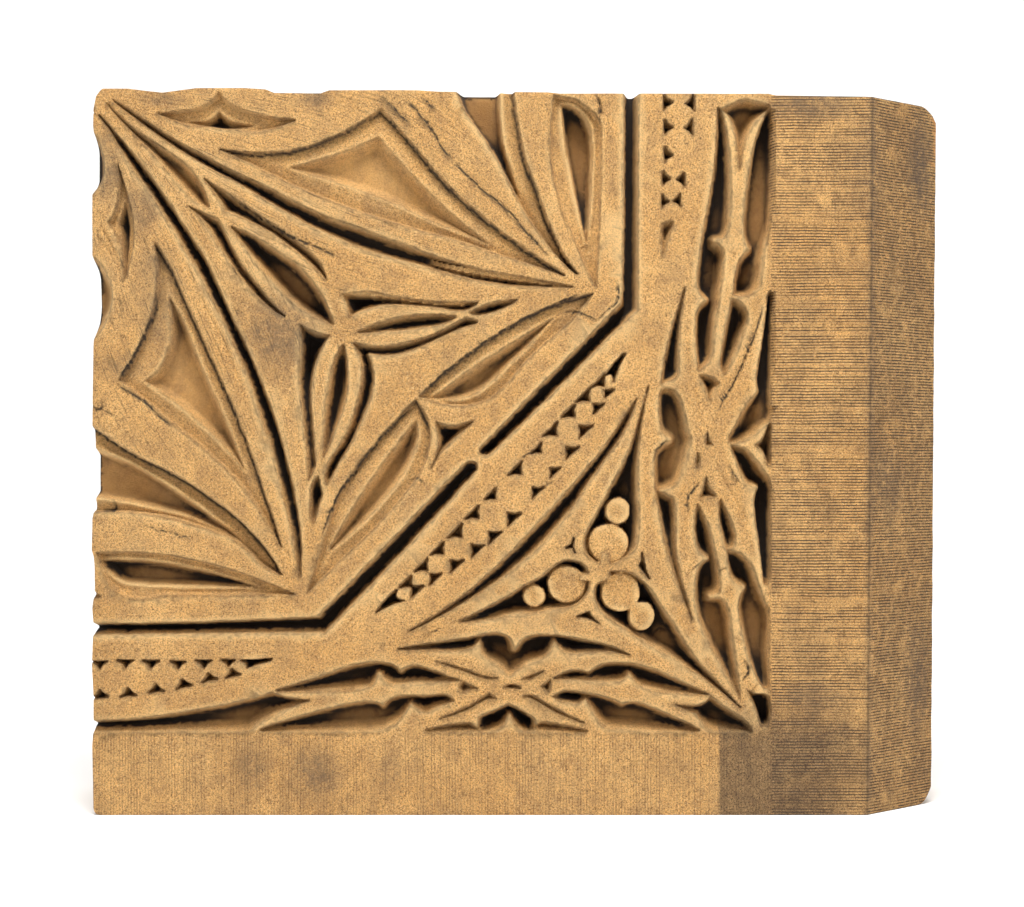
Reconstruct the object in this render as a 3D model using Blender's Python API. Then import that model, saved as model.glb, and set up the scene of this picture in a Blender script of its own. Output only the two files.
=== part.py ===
"""Terracotta spandrel: one cast block from beside an arch, made to be built into a wall.

The front is one flush plane with the carving sunk into it. Its right end turns back in a splay, and
the back is hollow, with webs. One solid, in metres, +Z up, front towards -Y.
"""

import math

import bmesh
import bpy

MM = 0.001

# The block, in millimetres: u runs right and v up from the front's bottom left corner, and w runs
# back from the front.
FRONT_WIDTH = 565.0
SPLAY = 57.0
DEPTH = 150.0
WIDTH = FRONT_WIDTH + SPLAY

# The height at the highest point, and the worn top edge as drops below it, from left to right.
HEIGHT = 527.5
TOP_EDGE = [(u, HEIGHT - drop) for u, drop in (
    (0, 14.5), (1, 6.5), (3.4, 0.5), (25, 0.5), (50, 3.5), (75, 0), (110, 0), (125, 1),
    (130, 4), (165, 4), (170, 1.5), (235, 1.5), (250, 2.7), (330, 3), (338, 4.1), (490, 4.2),
    (FRONT_WIDTH, 6.5), (WIDTH, 6.5),
)]

# Chips off the splay's outer corners, as lengths along the edge and up or down the side.
LOW_CHIP = (9.0, 11.0)
HIGH_CHIP = (8.0, 8.0)
CHIP_REACH = 12.0
CORNER_WEAR = 4.0

# The cells cast into the back.
CELL_COLUMNS = 3
CELL_ROWS = 2
OUTER_WALL = 32.0
WEB = 28.0
SHELL = 30.0
CELL_DRAFT = 3.0

# The discs stand on the trefoil's floor and end a little under the front.
DISC_TOP = 4.0
DISC_ROOT = 3.0
DISC_SIDES = 16

# Distance between points on a bent side, and how far a cutter starts outside the face it cuts.
POINT_GAP = 10.0
CLEAR = 8.0

TERRACOTTA = (0.42, 0.25, 0.11, 1.0)

# Each hollow is its depth and its sides. A side starts at a corner and bends through the points
# after it to the next corner.

# The quarter rosette, from its star at the top left.
ROSETTE = [
    # long groove, upper
    (21, [
        [(14.6, 518.2), (28.3, 510), (61.7, 488.2), (95, 470.3), (125, 455.7), (165, 435.8),
         (210, 419.5), (273.3, 397.4), (311.7, 389.9)],
        [(347, 383.3), (308, 383.8), (277.5, 387.8), (240, 397.8), (203.3, 407.8),
         (170, 421.2), (136.7, 438.7), (111.7, 454.5), (78.3, 472.8), (45, 494.5)],
    ]),
    # long groove, lower
    (21, [
        [(3.8, 507.8), (20, 490.3), (41.7, 462.8), (61.7, 433.7), (80.8, 403.7),
         (100.8, 360.3), (115.8, 328.7), (130, 292.5), (140.8, 255), (148.3, 218.3),
         (150.8, 183.3)],
        [(149.6, 170.8), (144.2, 205), (135.8, 238.3), (123.8, 282), (107.5, 328.7),
         (89.2, 367.8), (69.2, 406.2), (45, 445.3), (25, 474.5), (11.7, 497)],
    ]),
    # leaf by the star
    (15, [
        [(10, 516.2), (28.3, 498.7), (50.7, 483.6), (68.6, 470.7), (78.6, 457.1)],
        [(84.5, 440.7), (77.1, 442.9), (60, 460), (40, 482.9), (20, 503.7)],
    ]),
    # edge notch, upper
    (22, [
        [(-6, 497), (0.8, 493.7), (5.8, 482), (7.5, 473.7), (6.7, 461.2), (0.8, 452)],
        [(-6, 449)],
    ]),
    # edge notch, lower
    (24, [
        [(-8, 407), (0, 404.5), (8.7, 394.5), (12.9, 381.2), (12.9, 370.3), (7.5, 355.3),
         (0, 345.3)],
        [(-8, 343)],
    ]),
    # lobe at the top
    (7, [
        [(46.7, 509), (60, 510.2), (80, 514)],
        [(91.3, 523.7), (100.8, 514.9), (120, 507.8)],
        [(146.5, 504), (120, 496), (95, 498), (70, 500.3)],
    ]),
    # lobe at the side
    (7, [
        [(17.5, 472), (19, 458), (16.7, 440.3)],
        [(11, 430), (19, 415), (21.2, 400)],
        [(22.5, 387.8), (26.3, 401), (29.2, 423.7), (25, 448.7)],
    ]),
    # petal, upper
    (7, [
        [(92, 482.8), (120, 480.3), (148.3, 482.8), (180, 494.5)],
        [(208.8, 512), (228.3, 490.3), (256.7, 457), (298.3, 421.2)],
        [(342, 391.5), (300, 405), (260, 418), (211, 432), (150, 455), (111.7, 474)],
    ]),
    # petal, lower
    (7, [
        [(44.6, 414.5), (56.7, 395.3), (75, 354.5), (93.3, 314.5), (107.1, 282),
         (119.2, 248.3), (130, 216)],
        [(136.3, 194.5), (125, 214), (112, 234), (85, 262), (52, 289)],
        [(19.2, 315.5), (32.5, 337), (41.7, 360.3), (46.5, 385)],
    ]),
    # run-out, top
    (10, [
        [(262, HEIGHT + CLEAR), (266, 519), (280, 497.8), (298.3, 465.3), (315, 433.7),
         (338.3, 403.7)],
        [(351, 392.5), (338, 412), (325, 443.7), (313.3, 475.3), (308.3, 498.7), (304.5, 524)],
        [(304, HEIGHT + CLEAR)],
    ]),
    # run-out, side
    (10, [
        [(-8, 286), (0, 280.5), (28.3, 262), (61.7, 245), (99.2, 219.2), (121.7, 197)],
        [(136.2, 174.8), (122, 182), (106.7, 196.7), (75, 210), (45, 217.5), (12, 220)],
        [(-8, 220)],
    ]),
    # leaf by the border, upper
    (7, [
        [(334, 522), (351, 518), (363.3, 509)],
        [(367.9, 500), (367.5, 440)],
        [(364.5, 383), (352, 410), (338, 447), (332, 480)],
    ]),
    # leaf by the border, lower
    (7, [
        [(3, 189.8), (45, 189.5), (95, 179.2)],
        [(145.8, 160.3), (90, 159), (53, 159), (30, 156.5), (15, 163.3), (8, 174)],
    ]),
    # petal by the diagonal, upper
    (6, [
        [(237, 303.7), (267.5, 330.3), (300, 352.8), (333.3, 369.5)],
        [(361.8, 378), (348.3, 360.3), (331.7, 345.3), (315, 330.3), (300, 313), (285, 301),
         (262, 297)],
    ]),
    # petal by the diagonal, lower
    (6, [
        [(155.8, 162.1), (165, 190), (180, 235), (205.8, 270.8)],
        [(233.8, 301), (242, 288), (244.5, 272), (238, 250), (221.7, 227.5), (203.3, 207.5),
         (178.3, 183.3)],
    ]),
    # eye
    (25, [
        [(100, 426.8), (115, 420.7), (135.7, 407.9), (150, 397.1), (165, 378.6)],
        [(174.4, 355.4), (151.4, 365.7), (130.7, 385.7), (115, 404.5), (105, 419.3)],
    ]),
    # groove over the eye
    (18, [
        [(80.5, 461.5), (100, 449), (123.6, 432.9), (139.3, 421.5), (153.6, 411.4), (164.3, 400)],
        [(169.3, 387.8), (159.3, 398.6), (143.6, 411.4), (128.6, 422.5), (112.1, 430.9)],
        [(95, 438), (90, 448.6)],
    ]),
    # groove under the eye
    (18, [
        [(70, 441), (80, 436.6)],
        [(90.4, 432.3), (95.7, 421.4), (105.7, 402.1), (123.6, 378.6), (134.3, 366.5)],
        [(138.8, 361.8), (125, 370), (107.9, 388.6), (92.1, 411.4), (82, 429)],
    ]),
    # pocket under the joint
    (25, [
        [(150.5, 355), (160, 350.6)],
        [(171.2, 347.8), (163.3, 332), (158.3, 309.5), (158.5, 290), (160, 269.2)],
        [(161.5, 253), (158, 246)],
        [(156, 242), (155.8, 259.2), (152.5, 285), (149.2, 315.3), (150.2, 335)],
    ]),
    # pocket right of the joint
    (25, [
        [(181, 377.6), (200, 379.5), (220, 375.5), (245, 372.5), (262, 371.8)],
        [(279.2, 372.2), (269.2, 366.2), (245, 368.7), (215, 370), (199.2, 366.6)],
        [(185.4, 361.2), (183.5, 371)],
    ]),
    # tip past the crossing, right
    (20, [
        [(273.3, 364.5), (281.7, 368.7), (291.7, 372)],
        [(307.5, 374), (301.7, 369.5), (286.7, 363.3), (278, 362.6)],
    ]),
    # tip past the crossing, below
    (20, [
        [(162.9, 246)],
        [(166.4, 233.3)],
        [(160.3, 211.2), (158.3, 212)],
        [(157.9, 222), (158.6, 238)],
    ]),
    # lens, upright
    (22, [
        [(181.3, 341.2), (184.2, 327.8), (184.6, 309), (180, 291), (173, 272)],
        [(166.6, 258.5), (167.5, 285), (170, 309), (174.5, 328)],
    ]),
    # lens, level
    (22, [
        [(191.5, 350), (207.5, 357), (232.5, 362.8), (250, 363)],
        [(263, 361.4), (252, 355.8), (228.3, 351.6), (207, 350.2)],
    ]),
    # angle between the lenses
    (24, [
        [(188.8, 342.2), (210, 340.2), (228.3, 342.8), (250, 349.9), (262, 356)],
        [(270, 360.5), (278.8, 357.8), (262, 351.5), (240.8, 341.3), (215.8, 333.3)],
        [(199.8, 334.3), (203.3, 318), (200.8, 300.3), (190.8, 277.5), (178, 254)],
        [(169.6, 238.7), (168.2, 243), (170, 254.2), (183.3, 275), (192.5, 303.7), (195, 325)],
    ]),
    # corner of the diagonal petals
    (20, [
        [(248.8, 284.8), (261, 282.6)],
        [(275, 285.3), (264.2, 275), (253, 264)],
        [(245, 251.2), (250.2, 266)],
    ]),
]

# The border, the band beside it and the trefoil.
BORDER = [
    # border groove, upper
    (24, [
        [(385.3, HEIGHT + CLEAR), (384.6, 420)],
        [(383.3, 371.3)],
        [(281.5, 267), (280.3, 264.5), (281.3, 262)],
        [(285, 261), (287.5, 262)],
        [(394.7, 366.5)],
        [(394.8, 420)],
        [(395.5, HEIGHT + CLEAR)],
    ]),
    # border groove, lower
    (24, [
        [(-8, 138.8), (60, 139.3), (120, 141.7)],
        [(163, 143.6)],
        [(268.5, 253.5), (273.5, 256.6), (277.5, 255.5)],
        [(278.5, 250.5), (276, 247)],
        [(208, 172.5)],
        [(168, 131.8), (110, 131.6), (36, 131)],
        [(-8, 130)],
    ]),
    # pocket beside the band, upper
    (22, [
        [(394.3, 302.6), (385, 288.7), (370, 265.8), (348.3, 240), (315, 203.3), (285, 173.3),
         (255, 149.5)],
        [(228.8, 133.3), (250, 143.5), (285, 163.5), (320, 190.5), (345, 218.3),
         (364.2, 247.5), (384.2, 276.5)],
    ]),
    # bottom left
    (22, [
        [(-8, 68.2), (24, 69.2), (65.8, 74.6), (103.3, 81.7)],
        [(129.5, 88.6), (143, 85)],
        [(156.9, 83.2), (143.3, 77.5), (126, 69.5)],
        [(112, 61.2)],
        [(-8, 61)],
    ]),
    # trefoil, upper lobe
    (24, [
        [(402.6, 311), (399.2, 295), (396.2, 270), (395, 240), (395.7, 211.7), (392.5, 193),
         (385, 186)],
        [(375.4, 182.4), (374, 190), (369, 190)],
        [(367, 182.6), (359, 187.5), (356.4, 198), (360, 208.5)],
        [(367.5, 222.5), (377.5, 241.7), (389.5, 266), (397, 290)],
    ]),
    # trefoil, left lobe
    (24, [
        [(265.3, 140.2), (285, 150), (308, 163.5), (325, 173)],
        [(328.3, 175.5), (343.3, 184.8), (355.8, 181.3)],
        [(359, 175.6), (352, 174), (352, 170)],
        [(359.4, 169.9), (358.8, 161.5), (350, 152.5), (331.7, 148), (308, 145.5), (285, 141.5)],
    ]),
    # trefoil, right lobe
    (24, [
        [(375.2, 176.6), (388, 176), (400.8, 167.5), (415, 147.5), (437.5, 113.3), (456.7, 91.7)],
        [(468.9, 78.5), (445, 97.5), (411.7, 118.3), (380, 138.3), (367.5, 149), (363.6, 160)],
        [(365, 167.6), (372, 170), (374, 171)],
    ]),
]

# The thorned stems up the right side.
RIGHT_FRIEZE = [
    # right frieze, leaf 1
    (20, [
        [(411.2, 306.5), (415, 309.9), (422.5, 307), (428.5, 293), (431.5, 280)],
        [(433.5, 272), (429.6, 255), (422, 239)],
        [(411.5, 235.2)],
        [(420.8, 230), (422.7, 215), (423, 190), (426.7, 170), (431.7, 151.7)],
        [(434.4, 140.4), (425, 165), (416.7, 190), (409.6, 223), (407, 248.3), (408.8, 264.5)],
        [(418.4, 271.9), (412.5, 278), (410.7, 288)],
    ]),
    # right frieze, wedge
    (22, [
        [(429.2, 382.2), (426.7, 365.3), (425, 345.3), (424.6, 328), (423.5, 318)],
        [(412.3, 312.6), (413.3, 322), (416.7, 340.3), (422.5, 362)],
    ]),
    # right frieze, long leaf
    (24, [
        [(453.3, 512.8), (458.3, 500.3), (462, 470), (461.7, 430), (458.3, 419.5)],
        [(451.3, 416.6), (457, 410), (457.1, 395.3), (453.3, 368.7), (450.4, 348.7),
         (448.3, 331)],
        [(438.8, 322.4), (437.3, 338.7), (436.8, 355), (439, 367.5)],
        [(445.2, 373.7), (439, 380), (438.3, 392), (441, 415), (447.5, 450), (451.5, 480)],
    ]),
    # right frieze, cup
    (18, [
        [(456.3, 511.6), (471.7, 518.7)],
        [(489.2, 513.6), (478, 499), (471, 481)],
        [(469, 468), (466.5, 489), (462, 504)],
    ]),
    # right frieze, second leaf
    (22, [
        [(490.8, 510.6), (491.7, 473.7), (489.6, 427.8), (485, 403.7), (482.5, 384),
         (476, 376.8)],
        [(464.2, 377.3), (465.8, 391), (468.5, 402)],
        [(475.4, 410.8), (471.7, 421.2), (473.3, 448.7), (480, 488)],
    ]),
    # right frieze, third leaf
    (22, [
        [(463.2, 374.8), (471, 371), (475, 362), (470, 343.7), (463.3, 329.5)],
        [(457.8, 319.3), (455.2, 325), (456, 338), (461, 363)],
    ]),
    # right frieze, small triangle
    (18, [
        [(439.8, 319.2), (448, 318)],
        [(454.6, 313.4), (449, 306)],
        [(447.4, 298.6), (444, 308)],
    ]),
    # right frieze, edge strip, upper
    (20, [
        [(491.2, 378.7), (491.2, 345), (490.4, 300), (490.5, 290)],
        [(480, 275.8), (468, 270.2), (461.2, 270.6)],
        [(467.5, 286), (473.5, 297.5)],
        [(482.6, 307.6), (481.4, 318), (485.8, 341.2), (489.5, 365)],
    ]),
    # right frieze, edge triangle
    (16, [
        [(490.2, 282.5), (487, 273.5)],
        [(480.4, 268.6), (486.5, 263.5)],
        [(490.2, 255), (490.6, 268)],
    ]),
    # right frieze, fourth leaf
    (22, [
        [(462.5, 268.4), (473, 265.5), (482, 255), (488.5, 243)],
        [(490.4, 236), (490, 205), (489.2, 172)],
        [(487.5, 168), (484.2, 191.7), (480, 217), (479.5, 230)],
        [(482, 237.4), (474, 240), (467, 255)],
    ]),
    # right frieze, stem slot
    (10, [
        [(438.4, 263), (440.3, 257)],
        [(438, 250.5), (437, 256)],
    ]),
    # right frieze, crossing slot
    (12, [
        [(445.4, 278), (447, 271.5)],
        [(449, 269), (445, 267)],
    ]),
    # right frieze, small triangle, lower
    (20, [
        [(444.6, 245.2), (447, 237)],
        [(451.8, 231.2), (446, 230.2)],
        [(439.6, 229.8), (442.6, 238)],
    ]),
    # right frieze, leaf 5
    (22, [
        [(438.3, 225.2), (445.8, 210.8), (450, 195), (454.8, 172), (454, 161)],
        [(448.3, 157.9), (457, 156), (462, 144), (463.3, 130), (467, 106)],
        [(469.2, 84.8), (460, 100), (447.5, 122.5), (439, 143), (436.7, 165), (439.5, 180)],
        [(446, 185.7), (438.5, 192.5), (436.2, 208)],
    ]),
    # right frieze, leaf 6
    (20, [
        [(455, 228.2), (461.5, 216), (466, 201), (464, 193.5)],
        [(459, 192.3), (456, 203), (454, 217.5)],
    ]),
    # right frieze, leaf 7
    (22, [
        [(460, 191.6), (469.2, 190), (477.5, 180.8), (482.5, 165), (488, 148), (488.3, 113),
         (487.9, 93)],
        [(482.5, 98.3), (475, 115), (470.8, 133.3), (468.2, 152)],
        [(471.7, 164.3), (464.5, 170), (460.4, 180)],
    ]),
    # right frieze, foot
    (20, [
        [(475, 90), (482, 87.5), (488.2, 85.6), (488, 66)],
        [(485, 65.6), (480, 78)],
    ]),
    # right frieze, open triangle
    (14, [
        [(412.6, 428.7), (420.3, 430.3), (416.7, 417)],
        [(413, 404.5), (412.4, 415)],
    ]),
]

# The thorned stems along the bottom.
BOTTOM_FRIEZE = [
    # bottom frieze, leaf 1
    (22, [
        [(133.3, 90.3), (160, 98.8), (190, 108.8), (210, 111), (219, 108)],
        [(222.5, 104.1), (231.7, 108.5), (246, 105), (258, 100.3)],
        [(265.4, 97.8), (250, 96), (230, 94.6), (215, 94.6)],
        [(207.4, 102.7), (202.5, 93.5), (192, 90.5), (160, 89.4)],
    ]),
    # bottom frieze, leaf 2
    (22, [
        [(122.5, 61.8), (150, 71.7), (190, 81.2), (204, 82.2)],
        [(210, 79.1), (218.3, 85.4), (240, 86.7), (255.8, 87.1)],
        [(262, 82.6), (250, 77.8), (240, 74)],
        [(230.5, 80.6), (223, 69.5), (210, 63), (170, 60.9)],
    ]),
    # bottom frieze, long leaf
    (24, [
        [(220.8, 120.4), (250, 125.5), (275, 129), (291.7, 132), (301.7, 128.5)],
        [(305.6, 119.9), (313.3, 128.3), (328.3, 131), (356.7, 127), (375, 122.4)],
        [(389.2, 116), (370, 118.8), (345, 117)],
        [(334.6, 125.8), (328.3, 114.5), (315, 109)],
        [(302.4, 100.6), (293.3, 107.5), (283, 115)],
        [(279.8, 126.4), (272, 119.5), (245, 119.6)],
    ]),
    # bottom frieze, left triangle
    (18, [
        [(268, 97), (273, 94.5)],
        [(279.3, 91.6), (272, 90.2)],
        [(267.5, 87.8), (265.6, 92)],
    ]),
    # bottom frieze, right triangle
    (18, [
        [(331.6, 98.2), (331.3, 94)],
        [(330.4, 89), (328, 90.5)],
        [(324.8, 93), (328.5, 95.5)],
    ]),
    # bottom frieze, middle slot
    (10, [
        [(299, 92.9), (303.5, 94.4)],
        [(309.8, 92), (304, 91.8)],
    ]),
    # bottom frieze, leaf 3
    (22, [
        [(334.2, 99.2), (345, 104.3), (353, 105)],
        [(359.6, 103.2), (366, 108), (381.7, 110.4), (405, 106.1), (430, 95)],
        [(446, 87.4), (415, 88.8), (400, 92), (393.5, 95.8)],
        [(389, 102.6), (382, 96.5), (360, 96.9)],
    ]),
    # bottom frieze, leaf 4
    (22, [
        [(333.6, 85.8), (343.3, 90), (360, 87.9), (377.5, 83.8)],
        [(383.8, 80.2), (392.5, 82.1), (410, 76.2), (430, 66.7)],
        [(438, 61.6), (415, 60.9), (390, 62), (370, 65)],
        [(357.5, 84), (350.8, 80.2), (342, 81.8)],
    ]),
    # bottom frieze, leaf 5
    (22, [
        [(448, 85.6), (460, 77), (474, 67)],
        [(476.5, 60.9), (448, 62.6)],
        [(437, 73), (425, 78.8)],
        [(420, 80.2), (435, 79), (443, 81)],
    ]),
    # bottom frieze, foot 1
    (16, [
        [(242.3, 61.6), (255, 64.5), (268, 66.6), (273.5, 66.3)],
        [(278.6, 61.8), (262, 61.2)],
    ]),
    # bottom frieze, fork
    (24, [
        [(280, 71), (292, 76)],
        [(301.6, 80), (311.7, 75.2)],
        [(320, 69.6), (319.2, 61.4)],
        [(312, 61.5), (306, 66)],
        [(302.2, 72.4), (297.5, 65), (289, 61.7), (280.5, 61.6)],
    ]),
    # bottom frieze, foot 2
    (16, [
        [(321, 64.5), (325, 67.4), (338, 65.5)],
        [(357.2, 60.8), (338, 60.8), (321.5, 62.2)],
    ]),
    # bottom frieze, stem slot 1
    (7, [
        [(249, 111.4), (268, 106.4), (284, 100.9)],
        [(293, 99.2), (285, 98.6), (268, 104.4)],
    ]),
    # bottom frieze, stem slot 2
    (7, [
        [(311.8, 98.7), (318, 101.6), (327, 104.4)],
        [(323, 102), (316, 98.2)],
    ]),
    # bottom frieze, stem slot 3
    (7, [
        [(311.8, 85.8), (316, 87.3), (332, 79.2), (346, 71.6)],
        [(356, 67), (340, 72), (325, 80), (316, 85)],
    ]),
    # bottom frieze, stem slot 4
    (7, [
        [(252, 70), (270, 77.8), (284, 85.9)],
        [(287, 88), (290, 85.4)],
        [(291.8, 84.4), (284, 83), (270, 75.6)],
    ]),
]

# Small three-cornered cuts.
TRIANGLES = [
    # by the trefoil, 1
    (7, [
        [(348.4, 200.6), (347.6, 195)],
        [(349.4, 190.2), (347, 194)],
        [(342.8, 193.9), (346.5, 196)],
    ]),
    # by the trefoil, 2
    (9, [
        [(398.2, 190), (399.6, 181)],
        [(403, 171.6), (399, 177)],
        [(396.4, 181.2), (397.8, 184)],
    ]),
    # by the trefoil, 3
    (9, [
        [(350.8, 143.8), (355.5, 145.6)],
        [(359.6, 147.4), (361.5, 143.3)],
        [(367.1, 138.8), (359, 143)],
    ]),
    # strip end, left
    (12, [
        [(107.3, 112.3), (118, 112.4)],
        [(129.4, 113), (120, 109.6)],
        [(111.2, 106.9), (110.5, 110)],
    ]),
    # strip end, diagonal, low
    (12, [
        [(219.7, 163.2), (212, 155.5)],
        [(205, 147.2), (215, 151.5)],
        [(225.4, 155.9), (219.5, 157.6)],
    ]),
    # strip end, diagonal, high
    (12, [
        [(385.6, 334.8), (379, 329)],
        [(372, 319.6), (376.5, 319.8)],
        [(377.4, 314), (380, 322)],
    ]),
]

# Deeper recesses inside the wide hollows.
RECESSES = [
    # lobe at the top
    (18, [
        [(70, 502.8), (85, 505.3)],
        [(90.4, 511), (99.2, 504)],
        [(116, 500.5), (95, 498.4)],
    ]),
    # lobe at the side
    (18, [
        [(22.9, 445.5), (25.8, 427.8), (24.5, 410)],
        [(22.4, 392), (21.5, 411)],
        [(17.5, 429.5)],
    ]),
    # petal, upper
    (19, [
        [(143, 470), (175, 479)],
        [(207, 492), (224, 472), (251.7, 443.7)],
        [(286, 415), (240, 433.7), (211.7, 447), (165, 462.8)],
    ]),
    # petal, lower
    (19, [
        [(54.6, 376.2), (66, 356.2), (78.3, 324.5), (95.8, 285.3)],
        [(109.6, 249.8), (95, 267.5), (70, 290.8)],
        [(37, 314.9), (48.3, 324.5), (54.6, 341.2), (55.4, 360)],
    ]),
    # run-out, top
    (24, [
        [(264, HEIGHT + CLEAR), (268.3, 512.8), (288.3, 484.5)],
        [(308.8, 447.8), (299.2, 478.7), (295, 507)],
        [(295, HEIGHT + CLEAR)],
    ]),
    # run-out, side
    (24, [
        [(-8, 270), (4.2, 264.2), (32.5, 251.7), (65.8, 230)],
        [(106.2, 199), (78.3, 213.3), (45, 222.5), (10, 229.5)],
        [(-8, 231)],
    ]),
    # leaf by the border, upper
    (22, [
        [(340, 516.2), (350, 513.5), (359, 503)],
        [(362.3, 485), (361, 450)],
        [(358, 415.3), (349.5, 450), (342, 490)],
    ]),
    # leaf by the border, lower
    (22, [
        [(5.4, 184.6), (36.7, 184.2), (78.3, 177.5)],
        [(118.3, 165), (80, 166.2), (40, 167), (20, 170), (11, 177)],
    ]),
    # petal by the diagonal, upper
    (18, [
        [(246.2, 303), (268.3, 319.5), (301.7, 341.2)],
        [(333.3, 360.3), (315, 340.3), (298.3, 323.7), (280, 307.5), (262, 302)],
    ]),
    # petal by the diagonal, lower
    (18, [
        [(171.2, 191.7), (190, 225.8), (210, 255)],
        [(233.8, 286), (235.3, 273), (225.8, 249.2), (203.3, 220), (186, 203.5)],
    ]),
]

# Cuts between the beads: the depth, then for each row the way the cuts open, in degrees, and for
# each cut its point and the length of its two sides.
NOTCH_DEPTH = 12.0
NOTCH_ROWS = [
    (90, [(4.2, 106, 7.6), (23.2, 106.6, 7.8), (41.8, 106, 8.2), (61.4, 106, 7.8),
          (80.2, 106.6, 7.8), (97.8, 107.8, 6.4)]),
    (-84, [(4.6, 90.4, 7.2), (24.8, 92, 8), (45.2, 95, 7.8)]),
    (-76, [(64.4, 98, 7.6), (83.2, 102.9, 7.8), (100.2, 105.8, 7.2)]),
    (135, [(230.8, 165.2, 8.6), (242.5, 176.7, 9.6), (253.8, 188.8, 9.2), (267.1, 201.2, 9.8),
           (279.3, 215, 9.4), (291.8, 229, 7.6), (310.8, 246.6, 10), (325, 262.5, 7.4),
           (336.3, 275, 10), (348.9, 288.7, 8.8), (360, 299.8, 9.8), (371, 310.6, 9.4)]),
    (-45, [(230.6, 166.4, 8.8), (244, 175.2, 8.6), (259, 184.8, 9.2), (274.4, 196, 9.2),
           (287, 205.6, 9.4), (300.6, 219, 9.6), (318.6, 237.7, 8), (331.5, 251.9, 7.2),
           (342.8, 267.3, 9.6), (352.7, 282.7, 9.4), (362.7, 298.3, 7.8), (371, 308.4, 5.8)]),
    (180, [(419.6, 517, 8), (419.8, 499, 7.4), (420, 479, 7.4), (418.4, 461.8, 7),
           (417.2, 445.2, 6.6)]),
    (4, [(430.2, 516, 7.4), (429, 498.4, 7.6), (423.8, 461, 6.6), (421.2, 445.8, 6.4)]),
]

# Each disc is its centre, half its width and half its height.
DISCS = [
    (380.4, 220.6, 8.7, 9.2), (373.6, 197.3, 14.2, 13.7), (320, 158.9, 7.8, 7.8),
    (343.4, 167.5, 13.8, 13.2), (380.8, 160.4, 14.2, 14), (397.9, 144.2, 9.2, 10.2),
]

HOLLOWS = ROSETTE + BORDER + RIGHT_FRIEZE + BOTTOM_FRIEZE + TRIANGLES
DEEPEST = max(depth for depth, _ in HOLLOWS + RECESSES)
TREFOIL_DEPTH = 24.0


def place(u, w, v):
    """The point in metres, with the origin under the middle of the block."""
    return ((u - WIDTH / 2) * MM, (w - DEPTH / 2) * MM, v * MM)


def bend(points, gap):
    """Points about a gap apart on the smooth curve through these, leaving out the last."""
    if len(points) == 2:
        return points[:1]
    before = [2.5 * a - 2 * b + 0.5 * c for a, b, c in zip(*points[:3])]
    after = [2.5 * a - 2 * b + 0.5 * c for a, b, c in zip(*points[:-4:-1])]
    knots = [before, *points, after]
    curve = []
    for i in range(1, len(knots) - 2):
        p0, p1, p2, p3 = knots[i - 1:i + 3]
        d0, d1, d2 = [max(math.dist(a, b), 1e-6) ** 0.5 for a, b in ((p0, p1), (p1, p2), (p2, p3))]
        steps = max(1, round(math.dist(p1, p2) / gap))
        for step in range(steps):
            t = step / steps
            point = []
            for a, b, c, d in zip(p0, p1, p2, p3):
                leaving = ((b - a) / d0 - (c - a) / (d0 + d1)) * d1 + (c - b)
                arriving = (c - b) + ((d - c) / d2 - (d - b) / (d1 + d2)) * d1
                rise = t * t * (3 - 2 * t)
                point.append(
                    b + (c - b) * rise + leaving * t * (1 - t) ** 2 - arriving * t * t * (1 - t)
                )
            curve.append(tuple(point))
    return curve


def outline(sides):
    """The closed outline that these sides make."""
    points = []
    for side, following in zip(sides, sides[1:] + sides[:1]):
        points += bend([*side, following[0]], POINT_GAP)
    return points


def notch(u, v, side, opens):
    """A square-cornered cut between two beads, with its point at u, v."""
    corners = [(u, v)]
    for turn in (-45, 45):
        angle = math.radians(opens + turn)
        corners.append((u + side * math.cos(angle), v + side * math.sin(angle)))
    return corners


def ellipse(u, v, half_width, half_height):
    """The outline of a disc."""
    turns = [math.tau * i / DISC_SIDES for i in range(DISC_SIDES)]
    return [(u + half_width * math.cos(a), v + half_height * math.sin(a)) for a in turns]


def rectangle(u0, v0, u1, v1):
    """The corners of an upright rectangle."""
    return [(u0, v0), (u1, v0), (u1, v1), (u0, v1)]


def solid_between(mesh, front, back):
    """Adds the closed solid between two outlines with as many points, given as placed corners."""
    near = [mesh.verts.new(corner) for corner in front]
    far = [mesh.verts.new(corner) for corner in back]
    mesh.faces.new(near)
    mesh.faces.new(reversed(far))
    for i in range(len(near)):
        j = (i + 1) % len(near)
        mesh.faces.new((near[i], far[i], far[j], near[j]))


def prism(mesh, points, start, end):
    """Adds a straight prism on a u, v outline, between two depths."""
    area = sum(a[0] * b[1] - b[0] * a[1] for a, b in zip(points, points[1:] + points[:1]))
    if area < 0:
        points = points[::-1]
    solid_between(
        mesh, [place(u, start, v) for u, v in points], [place(u, end, v) for u, v in points]
    )


def add_object(name, mesh, material=None):
    """Makes the mesh an object. One with no material is a helper and isn't rendered."""
    data = bpy.data.meshes.new(name)
    mesh.to_mesh(data)
    mesh.free()
    item = bpy.data.objects.new(name, data)
    bpy.context.scene.collection.objects.link(item)
    if material:
        data.materials.append(material)
    else:
        item.hide_render = True
        item.display_type = "WIRE"
    return item


def combine(item, operation, other, self_crossing=False):
    """Adds a Boolean with the other object."""
    modifier = item.modifiers.new(other.name, "BOOLEAN")
    modifier.operation = operation
    modifier.solver = "EXACT"
    modifier.use_self = self_crossing
    modifier.object = other


def hollow_cutter(name, hollows):
    """One helper that holds the prism of each of these hollows."""
    mesh = bmesh.new()
    for depth, sides in hollows:
        prism(mesh, outline(sides), -CLEAR, depth)
    return add_object(name, mesh)


def notch_cutter():
    """One helper that holds the cuts between the beads."""
    mesh = bmesh.new()
    for opens, cuts in NOTCH_ROWS:
        for u, v, side in cuts:
            prism(mesh, notch(u, v, side, opens), -CLEAR, NOTCH_DEPTH)
    return add_object("notch_cutter", mesh)


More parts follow.
